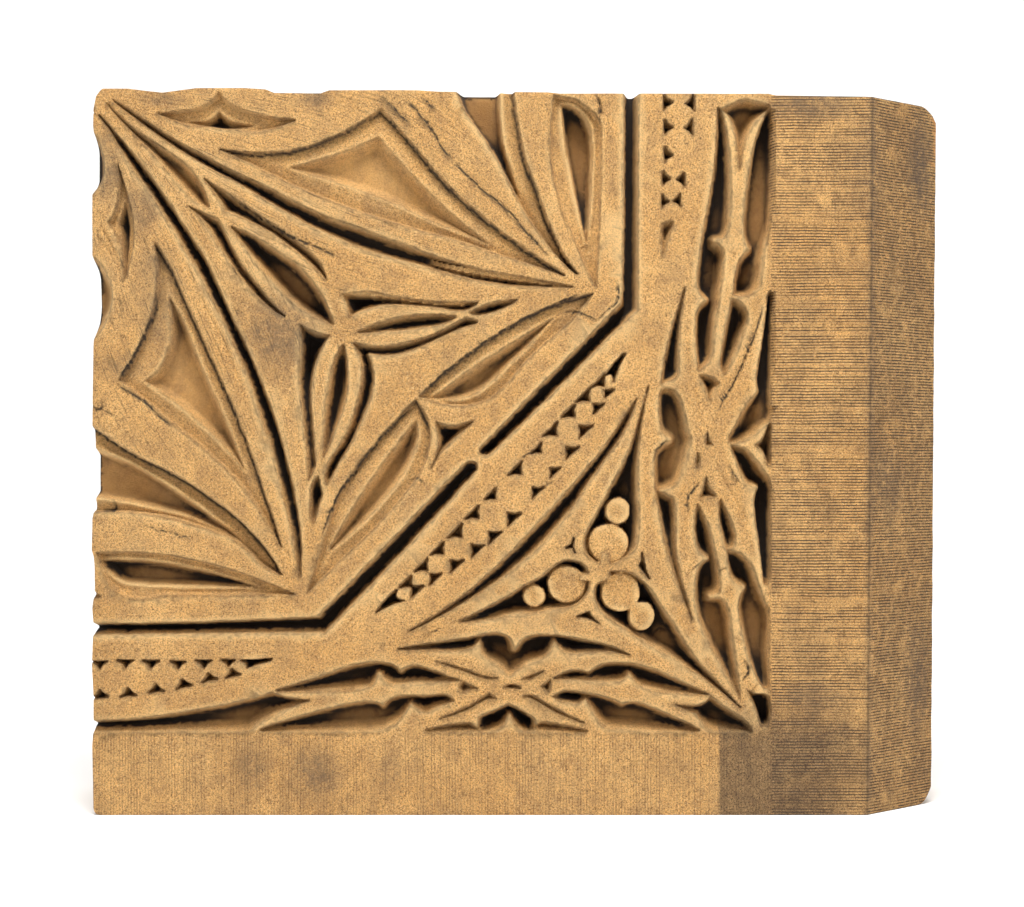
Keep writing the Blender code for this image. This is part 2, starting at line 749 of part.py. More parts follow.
def disc_posts():
    """One helper that holds the discs, rooted in the trefoil's floor."""
    mesh = bmesh.new()
    for disc in DISCS:
        prism(mesh, ellipse(*disc), DISC_TOP, TREFOIL_DEPTH + DISC_ROOT)
    return add_object("disc_posts", mesh)


def splay_cutter():
    """Takes the front right edge off at 45 degrees."""
    mesh = bmesh.new()
    plan = [
        (FRONT_WIDTH - CLEAR, -CLEAR),
        (WIDTH + CLEAR, -CLEAR),
        (WIDTH + CLEAR, SPLAY + CLEAR),
    ]
    top = HEIGHT + CLEAR
    solid_between(
        mesh, [place(u, w, top) for u, w in plan], [place(u, w, -CLEAR) for u, w in plan]
    )
    return add_object("splay_cutter", mesh)


def chip_cutter():
    """The chips, cut from the front to a little behind the splay."""
    mesh = bmesh.new()
    top = TOP_EDGE[-1][1]
    for corner, way, (across, along) in ((0, 1, LOW_CHIP), (top, -1, HIGH_CHIP)):
        outer = corner - way * along
        points = [
            (WIDTH - 2 * across, outer),
            (WIDTH + across, outer),
            (WIDTH + across, corner + 2 * way * along),
        ]
        prism(mesh, points, -CLEAR, SPLAY + CHIP_REACH)
    return add_object("chip_cutter", mesh)


def cell_cutter():
    """The cells in the back, each a little wider at its mouth."""
    mesh = bmesh.new()
    low_edge = TOP_EDGE[-1][1]
    width = (WIDTH - 2 * OUTER_WALL - (CELL_COLUMNS - 1) * WEB) / CELL_COLUMNS
    height = (low_edge - 2 * OUTER_WALL - (CELL_ROWS - 1) * WEB) / CELL_ROWS
    floor = DEEPEST + SHELL
    mouth = DEPTH + CLEAR
    flare = CELL_DRAFT * (mouth - floor) / (DEPTH - floor)
    for column in range(CELL_COLUMNS):
        for row in range(CELL_ROWS):
            u0 = OUTER_WALL + column * (width + WEB)
            v0 = OUTER_WALL + row * (height + WEB)
            u1 = u0 + width
            v1 = v0 + height
            shrink = CELL_DRAFT
            inner = rectangle(u0 + shrink, v0 + shrink, u1 - shrink, v1 - shrink)
            grow = flare - shrink
            outer = rectangle(u0 - grow, v0 - grow, u1 + grow, v1 + grow)
            solid_between(
                mesh,
                [place(u, floor, v) for u, v in inner],
                [place(u, mouth, v) for u, v in outer],
            )
    return add_object("cell_cutter", mesh)


def terracotta():
    """Unglazed fired clay."""
    material = bpy.data.materials.new("terracotta")
    material.use_nodes = True
    shader = material.node_tree.nodes["Principled BSDF"]
    shader.inputs["Base Color"].default_value = TERRACOTTA
    shader.inputs["Roughness"].default_value = 0.9
    return material


def main():
    """Builds the block and cuts its carving, splay and cells."""
    for item in list(bpy.data.objects):
        bpy.data.objects.remove(item, do_unlink=True)
    mesh = bmesh.new()
    corner = [(0, CORNER_WEAR), (CORNER_WEAR / 4, CORNER_WEAR / 4), (CORNER_WEAR, 0)]
    prism(mesh, [*corner, (WIDTH, 0), *reversed(TOP_EDGE)], 0, DEPTH)
    block = add_object("block", mesh, terracotta())
    combine(block, "DIFFERENCE", splay_cutter())
    combine(block, "DIFFERENCE", chip_cutter())
    combine(block, "DIFFERENCE", hollow_cutter("hollow_cutter", HOLLOWS), self_crossing=True)
    combine(block, "DIFFERENCE", hollow_cutter("recess_cutter", RECESSES), self_crossing=True)
    combine(block, "DIFFERENCE", notch_cutter(), self_crossing=True)
    combine(block, "UNION", disc_posts(), self_crossing=True)
    combine(block, "DIFFERENCE", cell_cutter())


main()
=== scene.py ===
"""Terracotta spandrel block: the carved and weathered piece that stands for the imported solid."""

import logging
import math
from dataclasses import dataclass, field
from enum import Enum

import bmesh
import bpy
import numpy as np
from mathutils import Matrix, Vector


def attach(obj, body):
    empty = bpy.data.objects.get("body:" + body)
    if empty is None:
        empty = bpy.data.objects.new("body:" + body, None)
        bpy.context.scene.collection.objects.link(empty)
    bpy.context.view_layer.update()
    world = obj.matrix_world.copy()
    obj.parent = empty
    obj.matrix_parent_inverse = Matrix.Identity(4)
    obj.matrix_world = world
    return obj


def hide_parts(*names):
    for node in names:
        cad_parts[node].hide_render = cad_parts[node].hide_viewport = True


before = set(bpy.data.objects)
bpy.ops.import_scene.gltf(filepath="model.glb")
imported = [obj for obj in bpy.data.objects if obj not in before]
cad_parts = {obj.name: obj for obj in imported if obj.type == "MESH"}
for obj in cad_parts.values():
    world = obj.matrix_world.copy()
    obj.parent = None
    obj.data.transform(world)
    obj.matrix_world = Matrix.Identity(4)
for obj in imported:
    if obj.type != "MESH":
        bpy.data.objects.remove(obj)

LOG = logging.getLogger("spandrel")
MM = 0.001
Point = tuple[float, float]
Outline = list[Point]

# Places are in millimetres on the front: u to the right and v up from its bottom left corner, and
# w back from it. A hollow is its name, its depth, how far in its wall reaches the floor, and its
# sides. A side starts at a corner and bends through the points after it to the next corner.

# The quarter rosette, from its star at the top left.
ROSETTE = [
    ("long groove, upper", 21, 5.4, [
        [(14.6, 518.2), (28.3, 510), (61.7, 488.2), (95, 470.3), (125, 455.7), (165, 435.8),
         (210, 419.5), (273.3, 397.4), (311.7, 389.9)],
        [(347, 383.3), (308, 383.8), (277.5, 387.8), (240, 397.8), (203.3, 407.8), (170, 421.2),
         (136.7, 438.7), (111.7, 454.5), (78.3, 472.8), (45, 494.5)],
    ]),
    ("long groove, lower", 21, 5.4, [
        [(3.8, 507.8), (20, 490.3), (41.7, 462.8), (61.7, 433.7), (80.8, 403.7), (100.8, 360.3),
         (115.8, 328.7), (130, 292.5), (140.8, 255), (148.3, 218.3), (150.8, 183.3)],
        [(149.6, 170.8), (144.2, 205), (135.8, 238.3), (123.8, 282), (107.5, 328.7), (89.2, 367.8),
         (69.2, 406.2), (45, 445.3), (25, 474.5), (11.7, 497)],
    ]),
    ("leaf by the star", 15, 6, [
        [(10, 516.2), (28.3, 498.7), (50.7, 483.6), (68.6, 470.7), (78.6, 457.1)],
        [(84.5, 440.7), (77.1, 442.9), (60, 460), (40, 482.9), (20, 503.7)],
    ]),
    ("edge notch, upper", 22, 6.6, [
        [(-6, 497), (0.8, 493.7), (5.8, 482), (7.5, 473.7), (6.7, 461.2), (0.8, 452)],
        [(-6, 449)],
    ]),
    ("edge notch, lower", 24, 8.8, [
        [(-8, 407), (0, 404.5), (8.7, 394.5), (12.9, 381.2), (12.9, 370.3), (7.5, 355.3), (0, 345.3)],
        [(-8, 343)],
    ]),
    ("lobe at the top", 7, 2.2, [
        [(46.7, 509), (60, 510.2), (80, 514)],
        [(91.3, 523.7), (100.8, 514.9), (120, 507.8)],
        [(146.5, 504), (120, 496), (95, 498), (70, 500.3)],
    ]),
    ("lobe at the side", 7, 2.2, [
        [(17.5, 472), (19, 458), (16.7, 440.3)],
        [(11, 430), (19, 415), (21.2, 400)],
        [(22.5, 387.8), (26.3, 401), (29.2, 423.7), (25, 448.7)],
    ]),
    ("petal, upper", 7, 2.2, [
        [(92, 482.8), (120, 480.3), (148.3, 482.8), (180, 494.5)],
        [(208.8, 512), (228.3, 490.3), (256.7, 457), (298.3, 421.2)],
        [(342, 391.5), (300, 405), (260, 418), (211, 432), (150, 455), (111.7, 474)],
    ]),
    ("petal, lower", 7, 2.2, [
        [(44.6, 414.5), (56.7, 395.3), (75, 354.5), (93.3, 314.5), (107.1, 282), (119.2, 248.3),
         (130, 216)],
        [(136.3, 194.5), (125, 214), (112, 234), (85, 262), (52, 289)],
        [(19.2, 315.5), (32.5, 337), (41.7, 360.3), (46.5, 385)],
    ]),
    ("run-out, top", 10, 2.2, [
        [(262, 535), (266, 519), (280, 497.8), (298.3, 465.3), (315, 433.7), (338.3, 403.7)],
        [(351, 392.5), (338, 412), (325, 443.7), (313.3, 475.3), (308.3, 498.7), (304.5, 524)],
        [(304, 535)],
    ]),
    ("run-out, side", 10, 2.2, [
        [(-8, 286), (0, 280.5), (28.3, 262), (61.7, 245), (99.2, 219.2), (121.7, 197)],
        [(136.2, 174.8), (122, 182), (106.7, 196.7), (75, 210), (45, 217.5), (12, 220)],
        [(-8, 220)],
    ]),
    ("leaf by the border, upper", 7, 2.2, [
        [(334, 522), (351, 518), (363.3, 509)],
        [(367.9, 500), (367.5, 440)],
        [(364.5, 383), (352, 410), (338, 447), (332, 480)],
    ]),
    ("leaf by the border, lower", 7, 2.2, [
        [(3, 189.8), (45, 189.5), (95, 179.2)],
        [(145.8, 160.3), (90, 159), (53, 159), (30, 156.5), (15, 163.3), (8, 174)],
    ]),
    ("petal by the diagonal, upper", 6, 2.2, [
        [(237, 303.7), (267.5, 330.3), (300, 352.8), (333.3, 369.5)],
        [(361.8, 378), (348.3, 360.3), (331.7, 345.3), (315, 330.3), (300, 313), (285, 301), (262, 297)],
    ]),
    ("petal by the diagonal, lower", 6, 2.2, [
        [(155.8, 162.1), (165, 190), (180, 235), (205.8, 270.8)],
        [(233.8, 301), (242, 288), (244.5, 272), (238, 250), (221.7, 227.5), (203.3, 207.5),
         (178.3, 183.3)],
    ]),
    ("eye", 25, 6.6, [
        [(100, 426.8), (115, 420.7), (135.7, 407.9), (150, 397.1), (165, 378.6)],
        [(174.4, 355.4), (151.4, 365.7), (130.7, 385.7), (115, 404.5), (105, 419.3)],
    ]),
    ("groove over the eye", 18, 5.4, [
        [(80.5, 461.5), (100, 449), (123.6, 432.9), (139.3, 421.5), (153.6, 411.4), (164.3, 400)],
        [(169.3, 387.8), (159.3, 398.6), (143.6, 411.4), (128.6, 422.5), (112.1, 430.9)],
        [(95, 438), (90, 448.6)],
    ]),
    ("groove under the eye", 18, 5.4, [
        [(70, 441), (80, 436.6)],
        [(90.4, 432.3), (95.7, 421.4), (105.7, 402.1), (123.6, 378.6), (134.3, 366.5)],
        [(138.8, 361.8), (125, 370), (107.9, 388.6), (92.1, 411.4), (82, 429)],
    ]),
    ("pocket under the joint", 25, 6.6, [
        [(150.5, 355), (160, 350.6)],
        [(171.2, 347.8), (163.3, 332), (158.3, 309.5), (158.5, 290), (160, 269.2)],
        [(161.5, 253), (158, 246)],
        [(156, 242), (155.8, 259.2), (152.5, 285), (149.2, 315.3), (150.2, 335)],
    ]),
    ("pocket right of the joint", 25, 6.6, [
        [(181, 377.6), (200, 379.5), (220, 375.5), (245, 372.5), (262, 371.8)],
        [(279.2, 372.2), (269.2, 366.2), (245, 368.7), (215, 370), (199.2, 366.6)],
        [(185.4, 361.2), (183.5, 371)],
    ]),
    ("tip past the crossing, right", 20, 5.4, [
        [(273.3, 364.5), (281.7, 368.7), (291.7, 372)],
        [(307.5, 374), (301.7, 369.5), (286.7, 363.3), (278, 362.6)],
    ]),
    ("tip past the crossing, below", 20, 5.4, [
        [(162.9, 246)],
        [(166.4, 233.3)],
        [(160.3, 211.2), (158.3, 212)],
        [(157.9, 222), (158.6, 238)],
    ]),
    ("lens, upright", 22, 6.6, [
        [(181.3, 341.2), (184.2, 327.8), (184.6, 309), (180, 291), (173, 272)],
        [(166.6, 258.5), (167.5, 285), (170, 309), (174.5, 328)],
    ]),
    ("lens, level", 22, 6.6, [
        [(191.5, 350), (207.5, 357), (232.5, 362.8), (250, 363)],
        [(263, 361.4), (252, 355.8), (228.3, 351.6), (207, 350.2)],
    ]),
    ("angle between the lenses", 24, 6.6, [
        [(188.8, 342.2), (210, 340.2), (228.3, 342.8), (250, 349.9), (262, 356)],
        [(270, 360.5), (278.8, 357.8), (262, 351.5), (240.8, 341.3), (215.8, 333.3)],
        [(199.8, 334.3), (203.3, 318), (200.8, 300.3), (190.8, 277.5), (178, 254)],
        [(169.6, 238.7), (168.2, 243), (170, 254.2), (183.3, 275), (192.5, 303.7), (195, 325)],
    ]),
    ("corner of the diagonal petals", 20, 6.6, [
        [(248.8, 284.8), (261, 282.6)],
        [(275, 285.3), (264.2, 275), (253, 264)],
        [(245, 251.2), (250.2, 266)],
    ]),
]

# The border, the band beside it and the trefoil.
BORDER = [
    ("border groove, upper", 24, 4.8, [
        [(385.3, 535), (384.6, 420)],
        [(383.3, 371.3)],
        [(281.5, 267), (280.3, 264.5), (281.3, 262)],
        [(285, 261), (287.5, 262)],
        [(394.7, 366.5)],
        [(394.8, 420)],
        [(395.5, 535)],
    ]),
    ("border groove, lower", 24, 4.8, [
        [(-8, 138.8), (60, 139.3), (120, 141.7)],
        [(163, 143.6)],
        [(268.5, 253.5), (273.5, 256.6), (277.5, 255.5)],
        [(278.5, 250.5), (276, 247)],
        [(208, 172.5)],
        [(168, 131.8), (110, 131.6), (36, 131)],
        [(-8, 130)],
    ]),
    ("pocket beside the band, upper", 22, 6.6, [
        [(394.3, 302.6), (385, 288.7), (370, 265.8), (348.3, 240), (315, 203.3), (285, 173.3),
         (255, 149.5)],
        [(228.8, 133.3), (250, 143.5), (285, 163.5), (320, 190.5), (345, 218.3), (364.2, 247.5),
         (384.2, 276.5)],
    ]),
    ("bottom left", 22, 6.6, [
        [(-8, 68.2), (24, 69.2), (65.8, 74.6), (103.3, 81.7)],
        [(129.5, 88.6), (143, 85)],
        [(156.9, 83.2), (143.3, 77.5), (126, 69.5)],
        [(112, 61.2)],
        [(-8, 61)],
    ]),
    ("trefoil, upper lobe", 24, 6, [
        [(402.6, 311), (399.2, 295), (396.2, 270), (395, 240), (395.7, 211.7), (392.5, 193), (385, 186)],
        [(375.4, 182.4), (374, 190), (369, 190)],
        [(367, 182.6), (359, 187.5), (356.4, 198), (360, 208.5)],
        [(367.5, 222.5), (377.5, 241.7), (389.5, 266), (397, 290)],
    ]),
    ("trefoil, left lobe", 24, 6, [
        [(265.3, 140.2), (285, 150), (308, 163.5), (325, 173)],
        [(328.3, 175.5), (343.3, 184.8), (355.8, 181.3)],
        [(359, 175.6), (352, 174), (352, 170)],
        [(359.4, 169.9), (358.8, 161.5), (350, 152.5), (331.7, 148), (308, 145.5), (285, 141.5)],
    ]),
    ("trefoil, right lobe", 24, 6, [
        [(375.2, 176.6), (388, 176), (400.8, 167.5), (415, 147.5), (437.5, 113.3), (456.7, 91.7)],
        [(468.9, 78.5), (445, 97.5), (411.7, 118.3), (380, 138.3), (367.5, 149), (363.6, 160)],
        [(365, 167.6), (372, 170), (374, 171)],
    ]),
]

# The thorned stems up the right side.
RIGHT_FRIEZE = [
    ("right frieze, leaf 1", 20, 6.4, [
        [(411.2, 306.5), (415, 309.9), (422.5, 307), (428.5, 293), (431.5, 280)],
        [(433.5, 272), (429.6, 255), (422, 239)],
        [(411.5, 235.2)],
        [(420.8, 230), (422.7, 215), (423, 190), (426.7, 170), (431.7, 151.7)],
        [(434.4, 140.4), (425, 165), (416.7, 190), (409.6, 223), (407, 248.3), (408.8, 264.5)],
        [(418.4, 271.9), (412.5, 278), (410.7, 288)],
    ]),
    ("right frieze, wedge", 22, 6.4, [
        [(429.2, 382.2), (426.7, 365.3), (425, 345.3), (424.6, 328), (423.5, 318)],
        [(412.3, 312.6), (413.3, 322), (416.7, 340.3), (422.5, 362)],
    ]),
    ("right frieze, long leaf", 24, 6.4, [
        [(453.3, 512.8), (458.3, 500.3), (462, 470), (461.7, 430), (458.3, 419.5)],
        [(451.3, 416.6), (457, 410), (457.1, 395.3), (453.3, 368.7), (450.4, 348.7), (448.3, 331)],
        [(438.8, 322.4), (437.3, 338.7), (436.8, 355), (439, 367.5)],
        [(445.2, 373.7), (439, 380), (438.3, 392), (441, 415), (447.5, 450), (451.5, 480)],
    ]),
    ("right frieze, cup", 18, 6.4, [
        [(456.3, 511.6), (471.7, 518.7)],
        [(489.2, 513.6), (478, 499), (471, 481)],
        [(469, 468), (466.5, 489), (462, 504)],
    ]),
    ("right frieze, second leaf", 22, 6.4, [
        [(490.8, 510.6), (491.7, 473.7), (489.6, 427.8), (485, 403.7), (482.5, 384), (476, 376.8)],
        [(464.2, 377.3), (465.8, 391), (468.5, 402)],
        [(475.4, 410.8), (471.7, 421.2), (473.3, 448.7), (480, 488)],
    ]),
    ("right frieze, third leaf", 22, 6.4, [
        [(463.2, 374.8), (471, 371), (475, 362), (470, 343.7), (463.3, 329.5)],
        [(457.8, 319.3), (455.2, 325), (456, 338), (461, 363)],
    ]),
    ("right frieze, small triangle", 18, 7, [
        [(439.8, 319.2), (448, 318)],
        [(454.6, 313.4), (449, 306)],
        [(447.4, 298.6), (444, 308)],
    ]),
    ("right frieze, edge strip, upper", 20, 7, [
        [(491.2, 378.7), (491.2, 345), (490.4, 300), (490.5, 290)],
        [(480, 275.8), (468, 270.2), (461.2, 270.6)],
        [(467.5, 286), (473.5, 297.5)],
        [(482.6, 307.6), (481.4, 318), (485.8, 341.2), (489.5, 365)],
    ]),
    ("right frieze, edge triangle", 16, 7, [
        [(490.2, 282.5), (487, 273.5)],
        [(480.4, 268.6), (486.5, 263.5)],
        [(490.2, 255), (490.6, 268)],
    ]),
    ("right frieze, fourth leaf", 22, 6.4, [
        [(462.5, 268.4), (473, 265.5), (482, 255), (488.5, 243)],
        [(490.4, 236), (490, 205), (489.2, 172)],
        [(487.5, 168), (484.2, 191.7), (480, 217), (479.5, 230)],
        [(482, 237.4), (474, 240), (467, 255)],
    ]),
    ("right frieze, stem slot", 10, 4, [
        [(438.4, 263), (440.3, 257)],
        [(438, 250.5), (437, 256)],
    ]),
    ("right frieze, crossing slot", 12, 4, [
        [(445.4, 278), (447, 271.5)],
        [(449, 269), (445, 267)],
    ]),
    ("right frieze, small triangle, lower", 20, 7, [
        [(444.6, 245.2), (447, 237)],
        [(451.8, 231.2), (446, 230.2)],
        [(439.6, 229.8), (442.6, 238)],
    ]),
    ("right frieze, leaf 5", 22, 6.4, [
        [(438.3, 225.2), (445.8, 210.8), (450, 195), (454.8, 172), (454, 161)],
        [(448.3, 157.9), (457, 156), (462, 144), (463.3, 130), (467, 106)],
        [(469.2, 84.8), (460, 100), (447.5, 122.5), (439, 143), (436.7, 165), (439.5, 180)],
        [(446, 185.7), (438.5, 192.5), (436.2, 208)],
    ]),
    ("right frieze, leaf 6", 20, 6.4, [
        [(455, 228.2), (461.5, 216), (466, 201), (464, 193.5)],
        [(459, 192.3), (456, 203), (454, 217.5)],
    ]),
    ("right frieze, leaf 7", 22, 6.4, [
        [(460, 191.6), (469.2, 190), (477.5, 180.8), (482.5, 165), (488, 148), (488.3, 113), (487.9, 93)],
        [(482.5, 98.3), (475, 115), (470.8, 133.3), (468.2, 152)],
        [(471.7, 164.3), (464.5, 170), (460.4, 180)],
    ]),
    ("right frieze, foot", 20, 5.8, [
        [(475, 90), (482, 87.5), (488.2, 85.6), (488, 66)],
        [(485, 65.6), (480, 78)],
    ]),
    ("right frieze, open triangle", 14, 6.4, [
        [(412.6, 428.7), (420.3, 430.3), (416.7, 417)],
        [(413, 404.5), (412.4, 415)],
    ]),
]

# The thorned stems along the bottom.
BOTTOM_FRIEZE = [
    ("bottom frieze, leaf 1", 22, 6.4, [
        [(133.3, 90.3), (160, 98.8), (190, 108.8), (210, 111), (219, 108)],
        [(222.5, 104.1), (231.7, 108.5), (246, 105), (258, 100.3)],
        [(265.4, 97.8), (250, 96), (230, 94.6), (215, 94.6)],
        [(207.4, 102.7), (202.5, 93.5), (192, 90.5), (160, 89.4)],
    ]),
    ("bottom frieze, leaf 2", 22, 6.4, [
        [(122.5, 61.8), (150, 71.7), (190, 81.2), (204, 82.2)],
        [(210, 79.1), (218.3, 85.4), (240, 86.7), (255.8, 87.1)],
        [(262, 82.6), (250, 77.8), (240, 74)],
        [(230.5, 80.6), (223, 69.5), (210, 63), (170, 60.9)],
    ]),
    ("bottom frieze, long leaf", 24, 6.4, [
        [(220.8, 120.4), (250, 125.5), (275, 129), (291.7, 132), (301.7, 128.5)],
        [(305.6, 119.9), (313.3, 128.3), (328.3, 131), (356.7, 127), (375, 122.4)],
        [(389.2, 116), (370, 118.8), (345, 117)],
        [(334.6, 125.8), (328.3, 114.5), (315, 109)],
        [(302.4, 100.6), (293.3, 107.5), (283, 115)],
        [(279.8, 126.4), (272, 119.5), (245, 119.6)],
    ]),
    ("bottom frieze, left triangle", 18, 7, [
        [(268, 97), (273, 94.5)],
        [(279.3, 91.6), (272, 90.2)],
        [(267.5, 87.8), (265.6, 92)],
    ]),
    ("bottom frieze, right triangle", 18, 7, [
        [(331.6, 98.2), (331.3, 94)],
        [(330.4, 89), (328, 90.5)],
        [(324.8, 93), (328.5, 95.5)],
    ]),
    ("bottom frieze, middle slot", 10, 3.4, [
        [(299, 92.9), (303.5, 94.4)],
        [(309.8, 92), (304, 91.8)],
    ]),
    ("bottom frieze, leaf 3", 22, 6.4, [
        [(334.2, 99.2), (345, 104.3), (353, 105)],
        [(359.6, 103.2), (366, 108), (381.7, 110.4), (405, 106.1), (430, 95)],
        [(446, 87.4), (415, 88.8), (400, 92), (393.5, 95.8)],
        [(389, 102.6), (382, 96.5), (360, 96.9)],
    ]),
    ("bottom frieze, leaf 4", 22, 6.4, [
        [(333.6, 85.8), (343.3, 90), (360, 87.9), (377.5, 83.8)],
        [(383.8, 80.2), (392.5, 82.1), (410, 76.2), (430, 66.7)],
        [(438, 61.6), (415, 60.9), (390, 62), (370, 65)],
        [(357.5, 84), (350.8, 80.2), (342, 81.8)],
    ]),
    ("bottom frieze, leaf 5", 22, 6.4, [
        [(448, 85.6), (460, 77), (474, 67)],
        [(476.5, 60.9), (448, 62.6)],
        [(437, 73), (425, 78.8)],
        [(420, 80.2), (435, 79), (443, 81)],
    ]),
    ("bottom frieze, foot 1", 16, 7, [
        [(242.3, 61.6), (255, 64.5), (268, 66.6), (273.5, 66.3)],
        [(278.6, 61.8), (262, 61.2)],
    ]),
    ("bottom frieze, fork", 24, 6.4, [
        [(280, 71), (292, 76)],
        [(301.6, 80), (311.7, 75.2)],
        [(320, 69.6), (319.2, 61.4)],
        [(312, 61.5), (306, 66)],
        [(302.2, 72.4), (297.5, 65), (289, 61.7), (280.5, 61.6)],
    ]),
    ("bottom frieze, foot 2", 16, 7, [
        [(321, 64.5), (325, 67.4), (338, 65.5)],
        [(357.2, 60.8), (338, 60.8), (321.5, 62.2)],
    ]),
    ("bottom frieze, stem slot 1", 7, 3, [
        [(249, 111.4), (268, 106.4), (284, 100.9)],
        [(293, 99.2), (285, 98.6), (268, 104.4)],
    ]),
    ("bottom frieze, stem slot 2", 7, 3, [
        [(311.8, 98.7), (318, 101.6), (327, 104.4)],
        [(323, 102), (316, 98.2)],
    ]),
    ("bottom frieze, stem slot 3", 7, 3, [
        [(311.8, 85.8), (316, 87.3), (332, 79.2), (346, 71.6)],
        [(356, 67), (340, 72), (325, 80), (316, 85)],
    ]),
    ("bottom frieze, stem slot 4", 7, 3, [
        [(252, 70), (270, 77.8), (284, 85.9)],
        [(287, 88), (290, 85.4)],
        [(291.8, 84.4), (284, 83), (270, 75.6)],
    ]),
]

# Small three-cornered cuts.
TRIANGLES = [
    ("by the trefoil, 1", 12, 1.8, [
        [(348.4, 200.6), (347.6, 195)],
        [(349.4, 190.2), (347, 194)],
        [(342.8, 193.9), (346.5, 196)],
    ]),
    ("by the trefoil, 2", 12, 1.8, [
        [(398.2, 190), (399.6, 181)],
        [(403, 171.6), (399, 177)],
        [(396.4, 181.2), (397.8, 184)],
    ]),
    ("by the trefoil, 3", 12, 1.8, [
        [(350.8, 143.8), (355.5, 145.6)],
        [(359.6, 147.4), (361.5, 143.3)],
        [(367.1, 138.8), (359, 143)],
    ]),
    ("strip end, left", 15, 1.8, [
        [(107.3, 112.3), (118, 112.4)],
        [(129.4, 113), (120, 109.6)],
        [(111.2, 106.9), (110.5, 110)],
    ]),
    ("strip end, diagonal, low", 15, 1.8, [
        [(219.7, 163.2), (212, 155.5)],
        [(205, 147.2), (215, 151.5)],
        [(225.4, 155.9), (219.5, 157.6)],
    ]),
    ("strip end, diagonal, high", 15, 1.8, [
        [(385.6, 334.8), (379, 329)],
        [(372, 319.6), (376.5, 319.8)],
        [(377.4, 314), (380, 322)],
    ]),
]

# Deeper recesses inside the wide hollows.
RECESSES = [
    ("lobe at the top", 18, 3.5, [
        [(70, 502.8), (85, 505.3)],
        [(90.4, 511), (99.2, 504)],
        [(116, 500.5), (95, 498.4)],
    ]),
    ("lobe at the side", 18, 3.5, [
        [(22.9, 445.5), (25.8, 427.8), (24.5, 410)],
        [(22.4, 392), (21.5, 411)],
        [(17.5, 429.5)],
    ]),
    ("petal, upper", 15, 6.5, [
        [(143, 470), (175, 479)],
        [(207, 492), (224, 472), (251.7, 443.7)],
        [(286, 415), (240, 433.7), (211.7, 447), (165, 462.8)],
    ]),
    ("petal, lower", 17, 5.5, [
        [(54.6, 376.2), (66, 356.2), (78.3, 324.5), (95.8, 285.3)],
        [(109.6, 249.8), (95, 267.5), (70, 290.8)],
        [(37, 314.9), (48.3, 324.5), (54.6, 341.2), (55.4, 360)],
    ]),
    ("run-out, top", 24, 3.5, [
        [(264, 535), (268.3, 512.8), (288.3, 484.5)],
        [(308.8, 447.8), (299.2, 478.7), (295, 507)],
        [(295, 535)],
    ]),
    ("run-out, side", 22, 4.5, [
        [(-8, 270), (4.2, 264.2), (32.5, 251.7), (65.8, 230)],
        [(106.2, 199), (78.3, 213.3), (45, 222.5), (10, 229.5)],
        [(-8, 231)],
    ]),
    ("leaf by the border, upper", 23, 3.2, [
        [(340, 516.2), (350, 513.5), (359, 503)],
        [(362.3, 485), (361, 450)],
        [(358, 415.3), (349.5, 450), (342, 490)],
    ]),
    ("leaf by the border, lower", 23, 4, [
        [(5.4, 184.6), (36.7, 184.2), (78.3, 177.5)],
        [(118.3, 165), (80, 166.2), (40, 167), (20, 170), (11, 177)],
    ]),
    ("petal by the diagonal, upper", 18, 6, [
        [(246.2, 303), (268.3, 319.5), (301.7, 341.2)],
        [(333.3, 360.3), (315, 340.3), (298.3, 323.7), (280, 307.5), (262, 302)],
    ]),
    ("petal by the diagonal, lower", 17, 6, [
        [(171.2, 191.7), (190, 225.8), (210, 255)],
        [(233.8, 286), (235.3, 273), (225.8, 249.2), (203.3, 220), (186, 203.5)],
    ]),
]


